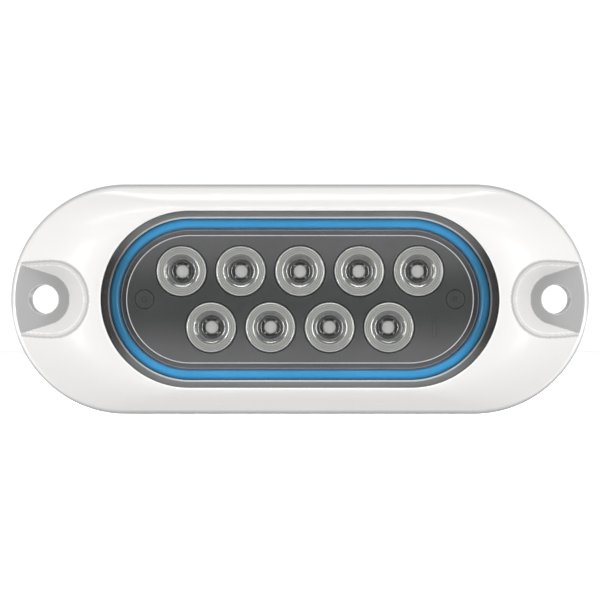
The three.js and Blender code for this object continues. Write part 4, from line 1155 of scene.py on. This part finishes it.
def world_light():
    """A pale room: white straight behind the light, dark straight ahead of it, and dimmer overhead."""
    world = bpy.data.worlds.new("studio")
    bpy.context.scene.world = world
    world.use_nodes = True
    nodes, links = world.node_tree.nodes, world.node_tree.links
    where = nodes.new("ShaderNodeTexCoord")
    split = nodes.new("ShaderNodeSeparateXYZ")
    links.new(where.outputs["Generated"], split.inputs["Vector"])
    ahead_to_behind = span(nodes, links, split.outputs["Y"], -1, 1, 0, 1)
    depth = ramp(nodes, links, ahead_to_behind, [(place, (grey,) * 3) for place, grey in ROOM_DEPTH])
    height = ramp(nodes, links, split.outputs["Z"], [(place, (grey,) * 3) for place, grey in ROOM_HEIGHT])
    links.new(mix(nodes, links, 1.0, depth, height, "MULTIPLY"), nodes["Background"].inputs["Color"])
    nodes["Background"].inputs["Strength"].default_value = 1.0


def floor_material():
    """Seamless paper, with a painted shadow: pale grey under the light, and white further out."""
    mat, nodes, links, shader = material("pale_floor")
    where = nodes.new("ShaderNodeTexCoord")
    length = nodes.new("ShaderNodeVectorMath")
    length.operation = "LENGTH"
    links.new(where.outputs["Object"], length.inputs[0])
    share = span(nodes, links, length.outputs["Value"], 0.5, 1.25, 0, 1, True)
    paper = object_noise(nodes, links, 4, 3)
    patchy = ramp(nodes, links, paper, [(0.3, (0.985, 0.985, 0.985)), (0.7, (1, 1, 1))])
    # painted shadow: the paper is greyer near the light and white further out
    colour = mix(nodes, links, share, (0.7, 0.7, 0.7), (0.98, 0.98, 0.98))
    links.new(mix(nodes, links, 1.0, colour, patchy, "MULTIPLY"), shader.inputs["Base Color"])
    shader.inputs["Roughness"].default_value = 0.8
    return mat


def stage():
    """A flat floor of paper, in metres."""
    half_width, front, far, level = 9.0, -4.0, 9.0, -0.32
    steps = 8
    row = steps + 1
    mesh = bpy.data.meshes.new("floor")
    across = np.linspace(-half_width, half_width, row)
    points = [(x, y, level) for y in np.linspace(front, far, row) for x in across]
    starts = [j * row + i for j in range(steps) for i in range(steps)]
    faces = [(i, i + 1, i + row + 1, i + row) for i in starts]
    mesh.from_pydata(points, [], faces)
    floor = bpy.data.objects.new("floor", mesh)
    bpy.context.scene.collection.objects.link(floor)
    mesh.materials.append(floor_material())


LIGHTS = [
    # name, place in metres, size in metres, radiance
    ("top_box", (0, -0.4, 0.75), (1.6, 0.09), 6),
    ("front_strip", (-0.67, -0.6, 0), (0.14, 0.8), 7),
    ("back_strip", (-0.8, 0.42, 0), (0.15, 0.45), 8),
    ("front_strip", (0.67, -0.6, 0), (0.14, 0.8), 7),
    ("back_strip", (0.8, 0.42, 0), (0.15, 0.45), 8),
    ("back_top_box", (0, 0.6, 0.72), (1.3, 0.2), 1.6),
]


def lights():
    """Soft boxes round the light, and a wide one over the floor far behind it."""
    for name, place, size, radiance in LIGHTS:
        area_light(name, place, size, radiance)
    paper = area_light("paper_light", (0, 5, 3), (9, 5), 3, (0, 5, -1))
    paper.data.spread = math.radians(100)


CAMERA_PLACE = (0, -0.42, -0.0002)
SENSOR_WIDTH = 36
FOCAL_LENGTH = 90.7


def camera():
    """A level camera straight in front of the light."""
    data = bpy.data.cameras.new("camera")
    data.sensor_width = SENSOR_WIDTH
    data.lens = FOCAL_LENGTH
    obj = bpy.data.objects.new("camera", data)
    bpy.context.scene.collection.objects.link(obj)
    obj.location = CAMERA_PLACE
    obj.rotation_euler = (math.pi / 2, 0, 0)
    bpy.context.scene.camera = obj
    bpy.context.scene.view_settings.view_transform = "Standard"


# ---- the light
bezel()
window_pane()
seal_ring()
housing_casting()
mounting_gasket()
optic_panel()
panel_key()
optics()
led_chips()
screws()
gland_body()
gland_nut()
gland_o_ring()
gland_rubber_seal()
gland_thrust_ring()
kept_nodes()
world_light()
stage()
lights()
camera()
